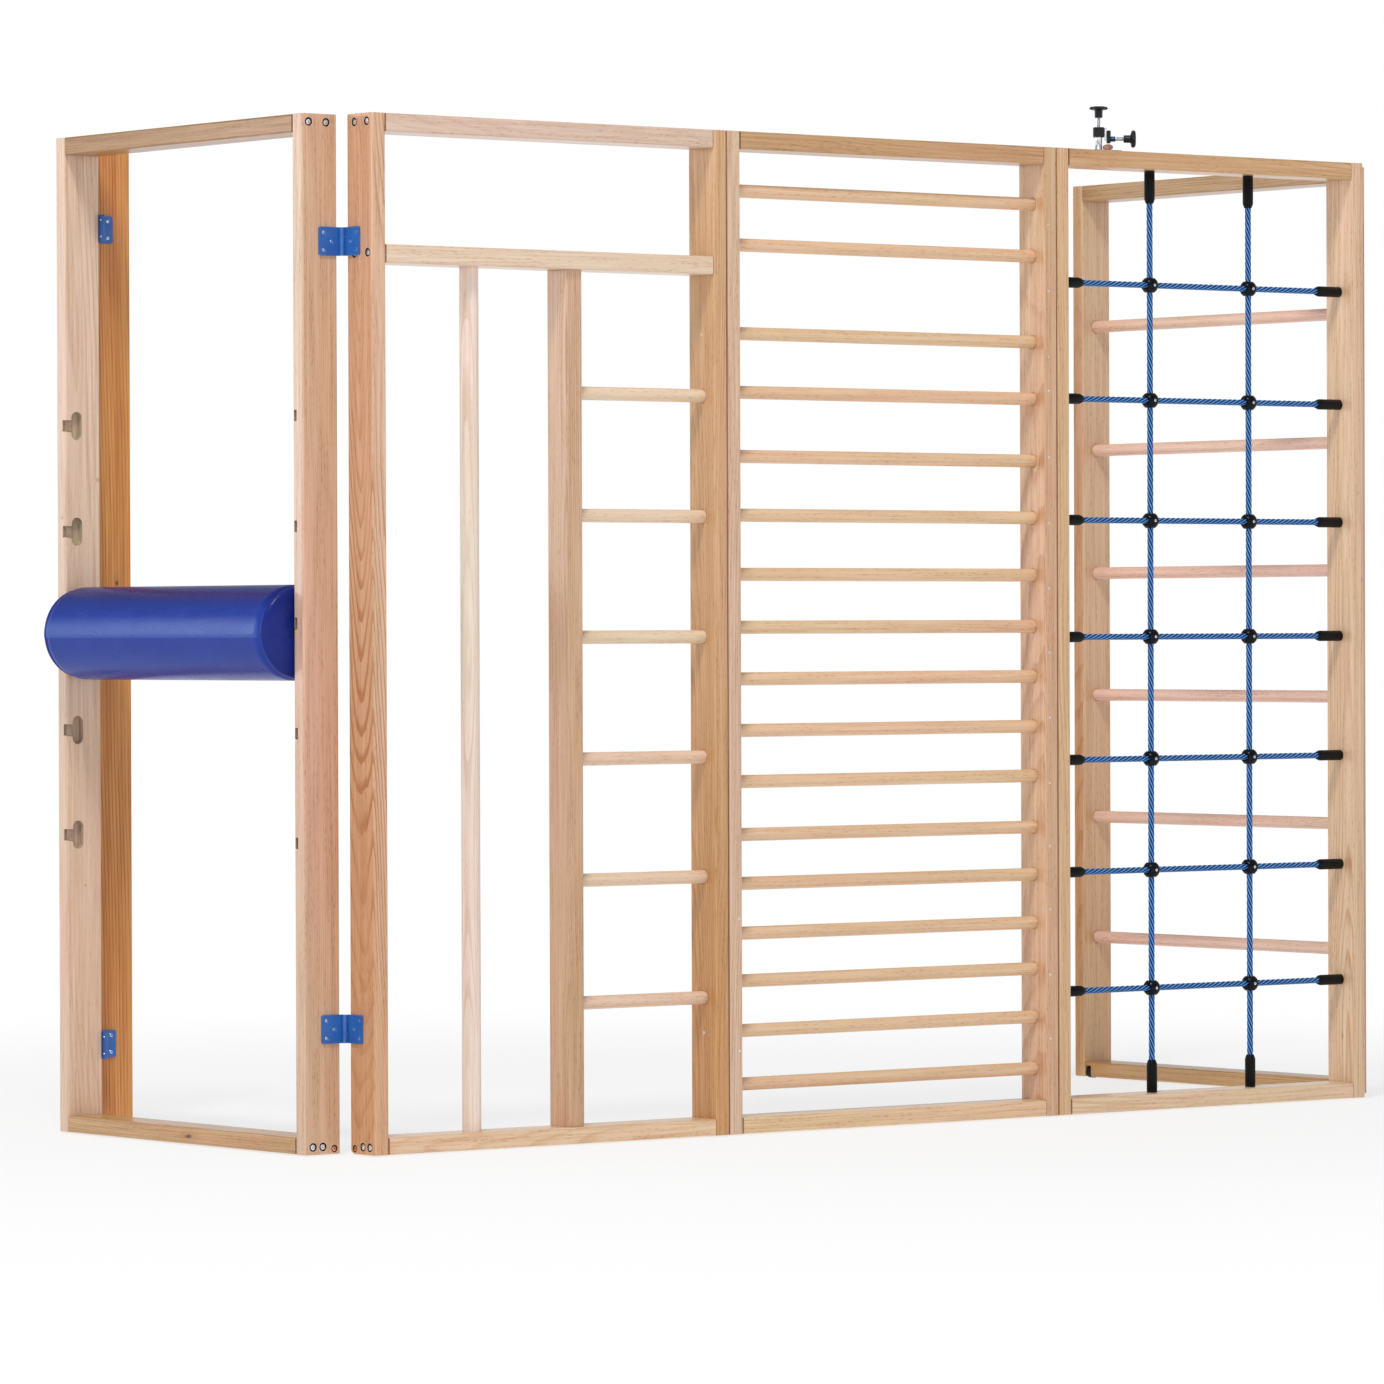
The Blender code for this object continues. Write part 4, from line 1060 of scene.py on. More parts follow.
# net frame
stile(
    "net_frame_left_stile", "front_wall", P4, 0,
    board_look("net_frame_left_stile", "z", (srgb(222, 186, 150), srgb(192, 144, 100)), figure=0.55, streak=0.8),
)
stile(
    "net_frame_right_stile", "front_wall", P4, INNER,
    board_look(
        "net_frame_right_stile", "z", (srgb(228, 198, 168), srgb(194, 150, 112)), figure=0.6, streak=0.6,
        knots=[((1949.2 + INNER, 40.0, 150.0), 1.6, 3.0)],
    ),
    outer_bolts("front_wall", lambda b, z: P4(PANEL_W, b, z), (1, 0, 0)) + [journal_cut(P4, INNER, 1)],
    corner=(DEPTH, 18.0),
)
rail(
    "net_frame_top_rail", "front_wall", P4, HEIGHT - RAIL_H, HEIGHT,
    board_look("net_frame_top_rail", "x", (srgb(212, 176, 132), srgb(180, 130, 80)), figure=0.6, streak=0.8),
)
rail(
    "net_frame_bottom_rail", "front_wall", P4, FOOT, RAIL_H,
    board_look("net_frame_bottom_rail", "x", (srgb(232, 204, 176), srgb(206, 164, 126)), figure=0.4, streak=0.5),
    wheel_cuts(P4, INNER, -1),
)

# =================================================================================================
# right wing
# =================================================================================================
stile(
    "right_wing_near_stile", "right_wing", right_wing, 0,
    board_look("right_wing_near_stile", "z", BEECH_SIDE, figure=0.5, streak=0.5),
    [socket_cut(right_wing, z, STILE_T, -1) for z in RIGHT_RUNG_Z]
    + outer_bolts("right_wing", lambda b, z: right_wing(0, b, z), (0, -1, 0)) + [journal_cut(right_wing, STILE_T, -1)],
    corner=(DEPTH, 6.0),
)
stile(
    "right_wing_far_stile", "right_wing", right_wing, INNER,
    board_look(
        "right_wing_far_stile", "z", (srgb(216, 186, 156), srgb(186, 146, 108)), figure=0.45, streak=0.6,
        low=((0.95, 0.90, 0.78, 1), 1500, 300),
    ),
    [socket_cut(right_wing, z, INNER, 1) for z in RIGHT_RUNG_Z]
    + outer_bolts("right_wing", lambda b, z: right_wing(PANEL_W, b, z), (0, 1, 0)) + [journal_cut(right_wing, INNER, 1)],
)
rail(
    "right_wing_top_rail", "right_wing", right_wing, HEIGHT - RAIL_H, HEIGHT,
    board_look("right_wing_top_rail", "y", (srgb(190, 158, 120), srgb(154, 114, 74)), figure=0.5, streak=0.6),
)
rail(
    "right_wing_bottom_rail", "right_wing", right_wing, FOOT, RAIL_H,
    board_look("right_wing_bottom_rail", "y", (srgb(200, 160, 110), srgb(164, 116, 66)), figure=0.5, streak=0.6),
    wheel_cuts(right_wing, STILE_T, 1) + wheel_cuts(right_wing, INNER, -1),
)
pink_look = board_look("right_wing_rung_3", "y", RUNG_PINK, figure=0.3, streak=0.5, fibre=0.5)
for number, z in enumerate(RIGHT_RUNG_Z, 1):
    rung(
        f"right_wing_rung_{number}_wood", "right_wing", right_wing, z, STILE_T - SOCKET, INNER + SOCKET,
        pink_look, f"right_wing_rung_{number}", number * 5,
    )


# =================================================================================================
# floor wheels
# =================================================================================================
def floor_wheel(node, panel, a_face, inward):
    centre = a_face + inward * NOTCH_W / 2

    def place(u, v, w):
        return panel(centre + w, WHEEL_B + u, WHEEL_R + v)

    bm = bmesh.new()
    outline = [(7.0, -9.4), (8.4, -9.9), (12.6, -9.9)]
    for i in range(5):
        t = math.radians(-90 + 90 * i / 4)
        outline.append((12.6 + 1.8 * math.cos(t), -8.1 + 1.8 * math.sin(t)))
    outline += [(14.4, -2.2), (13.9, -1.8), (13.9, 1.8), (14.4, 2.2)]
    for i in range(5):
        t = math.radians(90 * i / 4)
        outline.append((12.6 + 1.8 * math.cos(t), 8.1 + 1.8 * math.sin(t)))
    outline += [(12.6, 9.9), (8.4, 9.9), (7.0, 9.4)]
    add_turned(bm, outline, place, 48)
    tyre = make(node + "_tyre", bm)
    body = node
    place_on(tyre, body, BLACK_TYRE, node)
    bm = bmesh.new()
    out = NOTCH_W / 2 + 14.6
    add_turned(
        bm,
        [(3.6, -out), (4.0, -out + 0.5), (4.0, -10.6), (6.6, -10.6), (7.3, -9.7), (7.3, -9.0), (7.3, 9.0), (7.3, 9.7), (6.6, 10.6),
         (4.0, 10.6), (4.0, out - 0.5), (3.6, out)],
        place, 32,
    )
    hub = make(node + "_axle", bm)
    place_on(hub, body, STEEL)


floor_wheel("left_wing_wheel", left_wing, STILE_T, 1)
floor_wheel("front_left_wheel", P2, STILE_T, 1)
floor_wheel("front_right_wheel", P4, INNER, -1)
floor_wheel("right_wing_near_wheel", right_wing, STILE_T, 1)
floor_wheel("right_wing_far_wheel", right_wing, INNER, -1)


# =================================================================================================
# hinges
# =================================================================================================
def hinge_leaf(node, body, axis, z0, along, normal, has_pin):
    face, thick, length, height = 8.2, 3.0, 57.0, 62.0
    z1, third = z0 + height, height / 3

    def place(t, n, z):
        return (axis[0] + t * along[0] + n * normal[0], axis[1] + t * along[1] + n * normal[1], z)

    def outline(inset):
        points = [(0.3, z0 + inset), (0.3, z1 - inset)]
        for cz, start in ((z1 - 4.5, 90), (z0 + 4.5, 0)):
            for i in range(7):
                angle = math.radians(start - 90 * i / 6)
                points.append((length - 4.5 + (4.5 - inset) * math.cos(angle), cz + (4.5 - inset) * math.sin(angle)))
        return points

    bm = bmesh.new()
    eased_prism(bm, outline, lambda u, v, w: place(u, w, v), face - thick, face, 0.5)
    made = make(node + "_plate", bm)
    middle = z0 + height / 2
    holes = [(44.0, middle + 19), (44.0, middle - 19), (24.0, middle)]
    clear = circle(0, 0, 6.7, 40)
    cuts = [
        turned_cut(
            [(5.4, face - thick - 1.0), (5.4, face - thick), (3.2, face - 0.6), (3.2, face + 1)],
            lambda u, v, w, t=t, z=z: place(t + u, w, z + v), 28,
        )
        for t, z in holes
    ]
    if has_pin:
        cuts.append(prism_cut(clear, place, z0 + third, z1 - third))
    else:
        cuts += [prism_cut(clear, place, z0 - 2, z0 + third), prism_cut(clear, place, z1 - third, z1 + 2)]
    cut(made, cuts)
    if has_pin:
        low_end = [(4.2, z0 - 1.0 + 1.2), (5.6, z0 + 0.9), (6.25, z0 + 1.6)]
        barrel = [
            (1.2, z0 + 0.2), (4.4, z0 + 0.2), (5.7, z0 + 0.6), (6.25, z0 + 1.4), (6.25, z0 + third - 0.9), (5.9, z0 + third - GAP),
            (3.0, z0 + third - GAP), (3.0, z1 - third + GAP), (5.9, z1 - third + GAP), (6.25, z1 - third + 0.9),
            (6.25, z1 - 1.4), (5.7, z1 - 0.6), (4.4, z1 - 0.2), (1.2, z1 - 0.2),
        ]
        cut(made, [lambda bm: add_turned(bm, barrel, place, 40)], "UNION")
    else:
        barrel = [
            (5.9, z0 + third + GAP), (6.25, z0 + third + 0.9), (6.25, z1 - third - 0.9), (5.9, z1 - third - GAP),
            (3.1, z1 - third - GAP), (3.1, z0 + third + GAP),
        ]
        cut(made, [lambda bm: add_turned(bm, barrel, place, 40, close=True)], "UNION")
    even_normals(made)
    place_on(made, body, BLUE_PAINT, node)
    n = (-normal[0], -normal[1], 0)
    for t, z in holes:
        note_screw(body, place(t, face - thick + 0.4, z), n, 4.2, 0.3, True)


for level, z0 in (("upper", 2017.0), ("lower", 165.0)):
    hinge_leaf(f"wall_hinge_{level}_post_leaf", "wall_posts", WALL_AXIS, z0, (1, 0), (0, 1), True)
    hinge_leaf(f"wall_hinge_{level}_wing_leaf", "left_wing", WALL_AXIS, z0, (0, -1), (-1, 0), False)
for level, z0 in (("upper", 1944.5), ("lower", 242.0)):
    hinge_leaf(f"left_corner_hinge_{level}_wing_leaf", "left_wing", LEFT_AXIS, z0, (-1, 0), (0, 1), True)
    hinge_leaf(f"left_corner_hinge_{level}_wall_leaf", "front_wall", LEFT_AXIS, z0, (0, -1), (1, 0), False)
    hinge_leaf(f"right_corner_hinge_{level}_wall_leaf", "front_wall", RIGHT_AXIS, z0, (0, -1), (-1, 0), True)
    hinge_leaf(f"right_corner_hinge_{level}_wing_leaf", "right_wing", RIGHT_AXIS, z0, (1, 0), (0, 1), False)


# =================================================================================================
# roller: shaft and pad
# =================================================================================================
def roller_place(u, v, w):
    """u towards the inner face, v up, w along the wing."""
    return left_wing(w, SLOT_B + u, SHAFT_Z + v)


bm = bmesh.new()
s0, s1 = STILE_T - SLOT_DEEP + 1.5, INNER + SLOT_DEEP - 1.5
add_turned(
    bm,
    [(7.0, s0 + 1.2), (9.6, s0 + 1.2), (10.2, s0), (11.1, s0 + 0.3), (11.9, s0 + 1.3), (11.95, s0 + 3),
     (11.95, s1 - 3), (11.9, s1 - 1.3), (11.1, s1 - 0.3), (10.2, s1), (9.6, s1 - 1.2), (7.0, s1 - 1.2)],
    roller_place, 64,
)
shaft = make("roller_shaft_tube", bm)
place_on(shaft, "roller_shaft", STEEL, "roller_shaft")

PAD_LOW, PAD_HIGH, PAD_R = STILE_T + 5.0, INNER - 5.0, 104.5
AROUND = 96


def pad_stations():
    """(radius, distance) of the cover before it is filled, with a point every 7 mm or so."""
    edge, radius = 21.0, PAD_R - 0.6
    low, high = PAD_LOW + 2.5, PAD_HIGH - 2.5
    stations = [(15.0, low), (22.0, low), (30.0, low), (38.0, low), (46.0, low), (54.0, low), (62.0, low), (69.0, low)]
    for i in range(7):
        t = math.radians(90 * i / 6)
        stations.append((radius - edge + edge * math.sin(t), low + edge * (1 - math.cos(t))))
    count = 112
    for i in range(1, count):
        stations.append((radius, low + edge + (high - low - 2 * edge) * i / count))
    for i in range(7):
        t = math.radians(90 - 90 * i / 6)
        stations.append((radius - edge + edge * math.sin(t), high - edge * (1 - math.cos(t))))
    stations += [(69.0, high), (62.0, high), (54.0, high), (46.0, high), (38.0, high), (30.0, high), (22.0, high), (15.0, high)]
    return stations


def build_pad():
    stations = pad_stations()
    points, faces = [], []
    for radius, along in stations:
        for i in range(AROUND):
            angle = 2 * math.pi * i / AROUND
            points.append(W(*roller_place(radius * math.cos(angle), radius * math.sin(angle), along)))
    rows = len(stations)
    for r in range(rows - 1):
        for i in range(AROUND):
            j = (i + 1) % AROUND
            faces.append((r * AROUND + i, r * AROUND + j, (r + 1) * AROUND + j, (r + 1) * AROUND + i))
    pad = mesh_from("roller_pad_cover", points, faces, 0)
    bm = bmesh.new()
    bm.from_mesh(pad.data)
    bmesh.ops.recalc_face_normals(bm, faces=bm.faces)
    bm.to_mesh(pad.data)
    bm.free()
    # outward faces: the pad's own middle is inside
    centre = W(*roller_place(0, 0, PANEL_W / 2))
    probe = pad.data.polygons[(rows // 2) * AROUND]
    if probe.normal.dot(probe.center - centre) < 0:
        pad.data.flip_normals()
    return pad, rows


def simulate_pad(pad, rows):
    """Fills the cover: the end seams and the shaft's collar hold it, the rest swells a little."""
    hold = pad.vertex_groups.new(name="hold")
    shrink = pad.vertex_groups.new(name="gather")
    for r in range(rows):
        ids = list(range(r * AROUND, (r + 1) * AROUND))
        if r < 2 or r >= rows - 2:
            hold.add(ids, 1.0, "ADD")
        if r in (13, 14, rows - 15, rows - 14):
            shrink.add(ids, 1.0, "ADD")
    rest = np.array([v.co[:] for v in pad.data.vertices])
    cloth = pad.modifiers.new("fill", "CLOTH")
    settings = cloth.settings
    settings.quality = 6
    settings.mass = 0.25
    settings.tension_stiffness = 22
    settings.compression_stiffness = 22
    settings.shear_stiffness = 8
    settings.bending_stiffness = 1.2
    settings.use_pressure = True
    settings.uniform_pressure_force = 4.0
    settings.vertex_group_mass = "hold"
    settings.vertex_group_shrink = "gather"
    settings.shrink_min = -0.004
    settings.shrink_max = 0.045
    settings.effector_weights.gravity = 0.0
    cloth.collision_settings.use_collision = False
    scene = bpy.context.scene
    cloth.point_cache.frame_start, cloth.point_cache.frame_end = 1, 20
    scene.frame_start, scene.frame_end = 1, 20
    for number in range(1, 21):
        scene.frame_set(number)
    graph = bpy.context.evaluated_depsgraph_get()
    result = pad.evaluated_get(graph).to_mesh()
    moved = np.array([v.co[:] for v in result.vertices])
    pad.evaluated_get(graph).to_mesh_clear()
    pad.modifiers.remove(cloth)
    scene.frame_set(1)
    step = moved - rest
    length = np.linalg.norm(step, axis=1, keepdims=True)
    cap = 0.007
    step *= np.minimum(1.0, cap / np.maximum(length, 1e-9))
    return rest + step


def finish_pad(pad, rows, points):
    """Seams after the filling: a lengthwise overlap and stitched rings near both ends."""
    centre = np.array(W(*roller_place(0, 0, 0)))
    d = points - centre
    out, up, along = d[:, 0], d[:, 2], d[:, 1] / MM
    radius = np.hypot(out, up) / MM
    angle = np.arctan2(up, out)
    theta_seam = math.pi + math.radians(5.5)
    delta = np.angle(np.exp(1j * (theta_seam - angle)))  # positive above the seam on the outer side
    arc = delta * radius
    body = np.clip((radius - 60) / 30, 0, 1)
    above = (arc >= 0) & (arc < 40)
    change = np.zeros(len(points))
    change[above] += 1.3 * (1 - arc[above] / 40) ** 1.5
    below = (arc < 0) & (arc > -14)
    change[below] -= 0.5 * (1 + arc[below] / 14)
    low, high = PAD_LOW + 27.0, PAD_HIGH - 27.0
    for seam in (low, high):
        near = np.abs(along - seam)
        change -= 1.6 * np.exp(-((near / 3.2) ** 2)) * np.clip((radius - 92) / 6, 0, 1)
        # short pleats that run out from the seam
        wave = np.sin(angle * 31 + 1.7 * np.sin(angle * 5)) * (0.5 + 0.5 * np.sin(angle * 3 + 0.6))
        change += 0.45 * wave * np.exp(-((near / 16.0) ** 2)) * np.clip((radius - 80) / 12, 0, 1)
    change *= body
    unit = np.stack([out, np.zeros_like(out), up], axis=1)
    unit /= np.maximum(np.linalg.norm(unit, axis=1, keepdims=True), 1e-9)
    points = points + unit * (change * MM)[:, None]
    # stay inside the space that the solid holds, with a little for the cloth
    d = points - centre
    r = np.hypot(d[:, 0], d[:, 2])
    factor = np.minimum(1.0, (PAD_R + 2.8) * MM / np.maximum(r, 1e-9))
    d[:, 0] *= factor
    d[:, 2] *= factor
    d[:, 1] = np.clip(d[:, 1], (PAD_LOW + 0.6) * MM, (PAD_HIGH - 0.6) * MM)
    pad.data.vertices.foreach_set("co", (centre + d).astype(np.float32).ravel())
    pad.data.update()


pad, pad_rows = build_pad()
finish_pad(pad, pad_rows, simulate_pad(pad, pad_rows))
# the collar round the shaft closes the cover
bm = bmesh.new()
bm.from_mesh(pad.data)
bm.verts.ensure_lookup_table()
last = (pad_rows - 1) * AROUND
first_ring = [bm.verts[i] for i in range(AROUND)]
last_ring = [bm.verts[last + i] for i in range(AROUND)]
for ring, side in ((first_ring, 1), (last_ring, -1)):
    inner = []
    for i in range(AROUND):
        angle = 2 * math.pi * i / AROUND
        at = PAD_LOW + 8.0 if side > 0 else PAD_HIGH - 8.0
        inner.append(bm.verts.new(W(*roller_place(12.2 * math.cos(angle), 12.2 * math.sin(angle), at))))
    for i in range(AROUND):
        j = (i + 1) % AROUND
        bm.faces.new((ring[i], ring[j], inner[j], inner[i]) if side < 0 else (ring[j], ring[i], inner[i], inner[j]))
    if side > 0:
        low_inner = inner
    else:
        high_inner = inner
for i in range(AROUND):
    j = (i + 1) % AROUND
    bm.faces.new((low_inner[i], low_inner[j], high_inner[j], high_inner[i]))
bmesh.ops.recalc_face_normals(bm, faces=bm.faces)
bm.to_mesh(pad.data)
bm.free()
pad.data.shade_smooth()
smoothing = pad.modifiers.new("surface", "SUBSURF")
smoothing.levels = smoothing.render_levels = 1
for group in list(pad.vertex_groups):
    pad.vertex_groups.remove(group)
place_on(pad, "roller_pad", VINYL, "roller_pad")

# end discs: plastic collars on the shaft, clear of the slots
bm = bmesh.new()
for at, side in ((PAD_LOW, 1), (PAD_HIGH, -1)):
    add_turned(
        bm,
        [(r, at + side * w) for r, w in ((12.15, 1.4), (12.15, 0.5), (25.0, 0.4), (27.0, 1.0), (27.6, 2.2), (12.15, 3.4))],
        roller_place, 48, close=True,
    )
collars = make("roller_end_collars", bm)
place_on(collars, "roller_pad", BLACK_KNOB)


# =================================================================================================
# rope net
# =================================================================================================
STRANDS, LAY, ROPE_R = 6, 96.0, 7.0


def rope(name, place, start, end, phase=0.0):
    """Laid rope with six strands, left-hand lay, along w from start to end."""
    per = 7
    sides = STRANDS * per
    count = int((end - start) / 3.0)
    points, fibre = [], []
    lay_cos = math.cos(math.atan(2 * math.pi * ROPE_R / LAY))
    for i in range(count + 1):
        w = start + (end - start) * i / count
        twist = -2 * math.pi * w / LAY + phase
        for j in range(sides):
            local = (j % per) / per
            x = abs(local * 2 - 1)  # 0 in the middle of a strand, 1 in the groove
            r = (ROPE_R + 0.25) * (1.0 - 0.27 * (x ** 2.2))
            angle = twist + 2 * math.pi * j / sides
            points.append(W(*place(r * math.cos(angle), r * math.sin(angle), w)))
            fibre.append((w / lay_cos * MM, (j // per) * 0.02 + (local - 0.5) * 2 * math.pi * ROPE_R / STRANDS * MM, x))
    faces = []
    for i in range(count):
        for j in range(sides):
            k = (j + 1) % sides
            faces.append((i * sides + j, i * sides + k, (i + 1) * sides + k, (i + 1) * sides + j))
    faces.append(tuple(range(sides))[::-1])
    faces.append(tuple(count * sides + j for j in range(sides)))
    made = mesh_from(name, points, faces, 75)
    attribute = made.data.attributes.new("fibre", "FLOAT_VECTOR", "POINT")
    attribute.data.foreach_set("vector", np.array(fibre, np.float32).ravel())
    return made


def rope_v(a):
    return lambda u, v, w: P4(a + u, BAR_B + v, w)


def rope_h(z):
    return lambda u, v, w: P4(w, BAR_B + u, z + v)


low, high = RAIL_H + GAP, HEIGHT - RAIL_H - GAP
left, right = STILE_T + GAP, INNER - GAP
net_pieces = []
for number, a in enumerate(NET_A, 1):
    net_pieces.append(rope(f"net_rope_upright_{number}", rope_v(a), low + 20, high - 20, 0.4 * number))
for number, z in enumerate(NET_Z, 1):
    net_pieces.append(rope(f"net_rope_level_{number}", rope_h(z), left + 20, right - 20, 0.7 * number))
for index, piece in enumerate(net_pieces):
    place_on(piece, "front_wall", ROPE, "rope_net" if index == 0 else None)


def ferrule(bm, place):
    """Black sleeve: place(u, v, w) has w from the wood along the rope."""
    add_turned(
        bm,
        [(2.0, 0.1), (11.6, 0.1), (12.4, 0.7), (12.5, 1.6), (12.5, 4.0), (12.1, 4.6), (12.1, 5.6), (12.5, 6.2),
         (12.5, 66.0), (12.2, 67.6), (11.2, 70.5), (9.9, 74.0), (9.2, 76.0), (8.6, 76.8), (8.0, 76.5), (7.6, 73.0), (6.2, 70.0), (2.0, 70.0)],
        place, 36,
    )


for label, items in (
    ("upright", [(lambda u, v, w, a=a: P4(a + u, BAR_B + v, low + w)) for a in NET_A]
     + [(lambda u, v, w, a=a: P4(a + u, BAR_B + v, high - w)) for a in NET_A]),
    ("level", [(lambda u, v, w, z=z: P4(left + w, BAR_B + u, z + v)) for z in NET_Z]
     + [(lambda u, v, w, z=z: P4(right - w, BAR_B + u, z + v)) for z in NET_Z]),
):
    bm = bmesh.new()
    for place in items:
        ferrule(bm, place)
    sleeves = make(f"net_ferrules_{label}", bm)
    place_on(sleeves, "front_wall", BLACK_FERRULE)


def ball_points(centre):
    """Crossing piece: a two-part ball with a mouth for each of the four rope ends and a screw recess in front and behind."""
    radius = 20.3
    nu, nv = 72, 44
    points, faces = [], []
    for i in range(nv + 1):
        polar = math.pi * (i + 0.5) / (nv + 1)
        for j in range(nu):
            azimuth = 2 * math.pi * j / nu
            # polar axis along the frame's depth, so that the poles are the front and the back
            dx, dz = math.sin(polar) * math.cos(azimuth), math.sin(polar) * math.sin(azimuth)
            dy = math.cos(polar)
            r = radius
            for ax, az in ((1, 0), (-1, 0), (0, 1), (0, -1)):
                facing = dx * ax + dz * az
                if facing <= 0:
                    continue
                across = dx * az + dz * ax
                half_across = 0.45 if az == 0 else 0.43
                half_depth = 0.66 if az == 0 else 0.52
                e = math.hypot(across / half_across, dy / half_depth)
                if e < 1.12:
                    k = min(1.0, max(0.0, (e - 0.78) / (1.12 - 0.78)))
                    k = k * k * (3 - 2 * k)
                    r = min(r, radius * (0.42 + 0.58 * k))
            # parting line of the two halves
            if r > radius * 0.97:
                r -= 0.55 * math.exp(-((dy * radius / 0.7) ** 2))
                # shallow screw recess in the front and back
                flat = math.hypot(dx, dz) * radius
                if flat < 6.2:
                    r -= 1.0 * min(1.0, max(0.0, (6.2 - flat) / 0.9))
            points.append(centre + Vector((dx, dy, dz)) * (r * MM))
    count = nv + 1
    for i in range(count - 1):
        for j in range(nu):
            k = (j + 1) % nu
            faces.append((i * nu + j, (i + 1) * nu + j, (i + 1) * nu + k, i * nu + k))
    faces.append(tuple(range(nu)))
    faces.append(tuple((count - 1) * nu + j for j in range(nu))[::-1])
    return points, faces


for column, a in enumerate(NET_A, 1):
    points, faces = [], []
    for z in NET_Z:
        p, f = ball_points(W(*P4(a, BAR_B, z)))
        start = len(points)
        points += p
        faces += [tuple(start + k for k in face) for face in f]
        for side in (-1, 1):
            note_screw("front_wall", P4(a, BAR_B + side * 19.1, z), (0, side, 0), 3.4)
    balls = mesh_from(f"net_crossings_{column}", points, faces, 50)
    bm = bmesh.new()
    bm.from_mesh(balls.data)
    bmesh.ops.recalc_face_normals(bm, faces=bm.faces)
    bm.to_mesh(balls.data)
    bm.free()
    place_on(balls, "front_wall", BLACK_BALL)


# =================================================================================================
# clamp on the net frame's top rail
# =================================================================================================
TOP = HEIGHT + GAP
CLAMP_TURN = math.radians(38.0)


def clamp(s, t, z):
    """The clamp's upper part stands turned about its tube: s points away from it to the front right."""
    c, n = math.cos(CLAMP_TURN), math.sin(CLAMP_TURN)
    return P4(CLAMP_A + s * c + t * n, CLAMP_B - 8 - s * n + t * c, z)


def box_piece(name, profile_at, place, w0, w1, ease, look, extra=()):
    bm = bmesh.new()
    eased_prism(bm, profile_at, place, w0, w1, ease)
    made = make(name, bm)
    if extra:
        cut(made, list(extra))
    even_normals(made)
    return place_on(made, "front_wall", look)


def side_turned(u, v, w):
    return clamp(w, u, 2282 + v)


base = box_piece(
    "clamp_base_plate", board_profile(CLAMP_A - 24, CLAMP_A + 46, 52, 102, 4.0), along_z(P4), TOP, TOP + 5.5, 0.8,
    STEEL,
)
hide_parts("clamp_bracket")
box_piece(
    "clamp_hook", board_profile(CLAMP_A - 20, CLAMP_A + 20, 2214, TOP + 4.5, 3.0), along_b(P4), DEPTH + GAP, DEPTH + 6,
    0.8, STEEL,
)
bm = bmesh.new()
add_turned(
    bm,
    [(4.2, TOP + 5.4), (10.6, TOP + 5.4), (10.9, TOP + 6.4), (9.0, TOP + 8.0), (8.3, TOP + 9.0), (8.3, 2268), (8.0, 2268.6), (8.0, 2269.6),
     (8.3, 2270.2), (8.3, 2286.5), (4.2, 2286.5)],
    clamp, 48,
)
place_on(make("clamp_tube", bm), "front_wall", STEEL_BRIGHT)
box_piece(
    "clamp_cap", board_profile(-13, 13, -13, 13, 3.0), along_z(clamp), 2286, 2309.5, 2.4, BLACK_KNOB,
    [prism_cut(circle(0, 0, 4.3, 32), along_z(clamp), 2284, 2314)],
)
side_bore = [turned_cut([(4.9, -8), (4.9, 60)], side_turned, 32)]
box_piece(
    "clamp_side_plate", board_profile(13.3, 18.0, 2279, 2308, 2.0), along_b(clamp), -8, 8, 0.9, STEEL_BRIGHT, side_bore,
)
box_piece(
    "clamp_side_block", board_profile(18.3, 28.0, 2272, 2302, 3.0), along_b(clamp), -8, 8, 1.2, BLACK_KNOB, side_bore,
)
bm = bmesh.new()
add_turned(
    bm, [(4.9, 28.3), (6.4, 28.3), (7.0, 29.0), (7.0, 38.0), (6.4, 38.8), (4.9, 38.8)], side_turned, 6, close=True,
)
place_on(make("clamp_side_nut", bm, 20), "front_wall", NUT_BLUE)
# brown moulded foot, under the black side block
bm = bmesh.new()
add_turned(
    bm,
    [(1.0, -8.6), (5.0, -8.6), (6.4, -7.8), (6.9, -6.0), (6.9, 6.0), (6.4, 7.8), (5.0, 8.6), (1.0, 8.6)],
    lambda u, v, w: clamp(21.5 + u * 1.75, w, TOP + 12.6 + v), 40,
)
place_on(make("clamp_foot_pad", bm), "front_wall", BROWN_FOOT)


def threaded(bm, place, start, end, radius=3.95, pitch=1.5, sides=28):
    """Screw thread as one skin whose ridge climbs round the axis."""
    count = int((end - start) / 0.3)
    rings = []
    for i in range(count + 1):
        w = start + (end - start) * i / count
        ring = []
        for j in range(sides):
            angle = 2 * math.pi * j / sides
            phase = (w / pitch - j / sides) % 1.0
            r = radius - 0.55 * abs(phase * 2 - 1)
            fade = min(1.0, (w - start) / 1.2 + 0.2, (end - w) / 1.2 + 0.2)
            ring.append(W(*place(r * fade * math.cos(angle), r * fade * math.sin(angle), w)))
        rings.append(ring)
    skin(bm, rings)


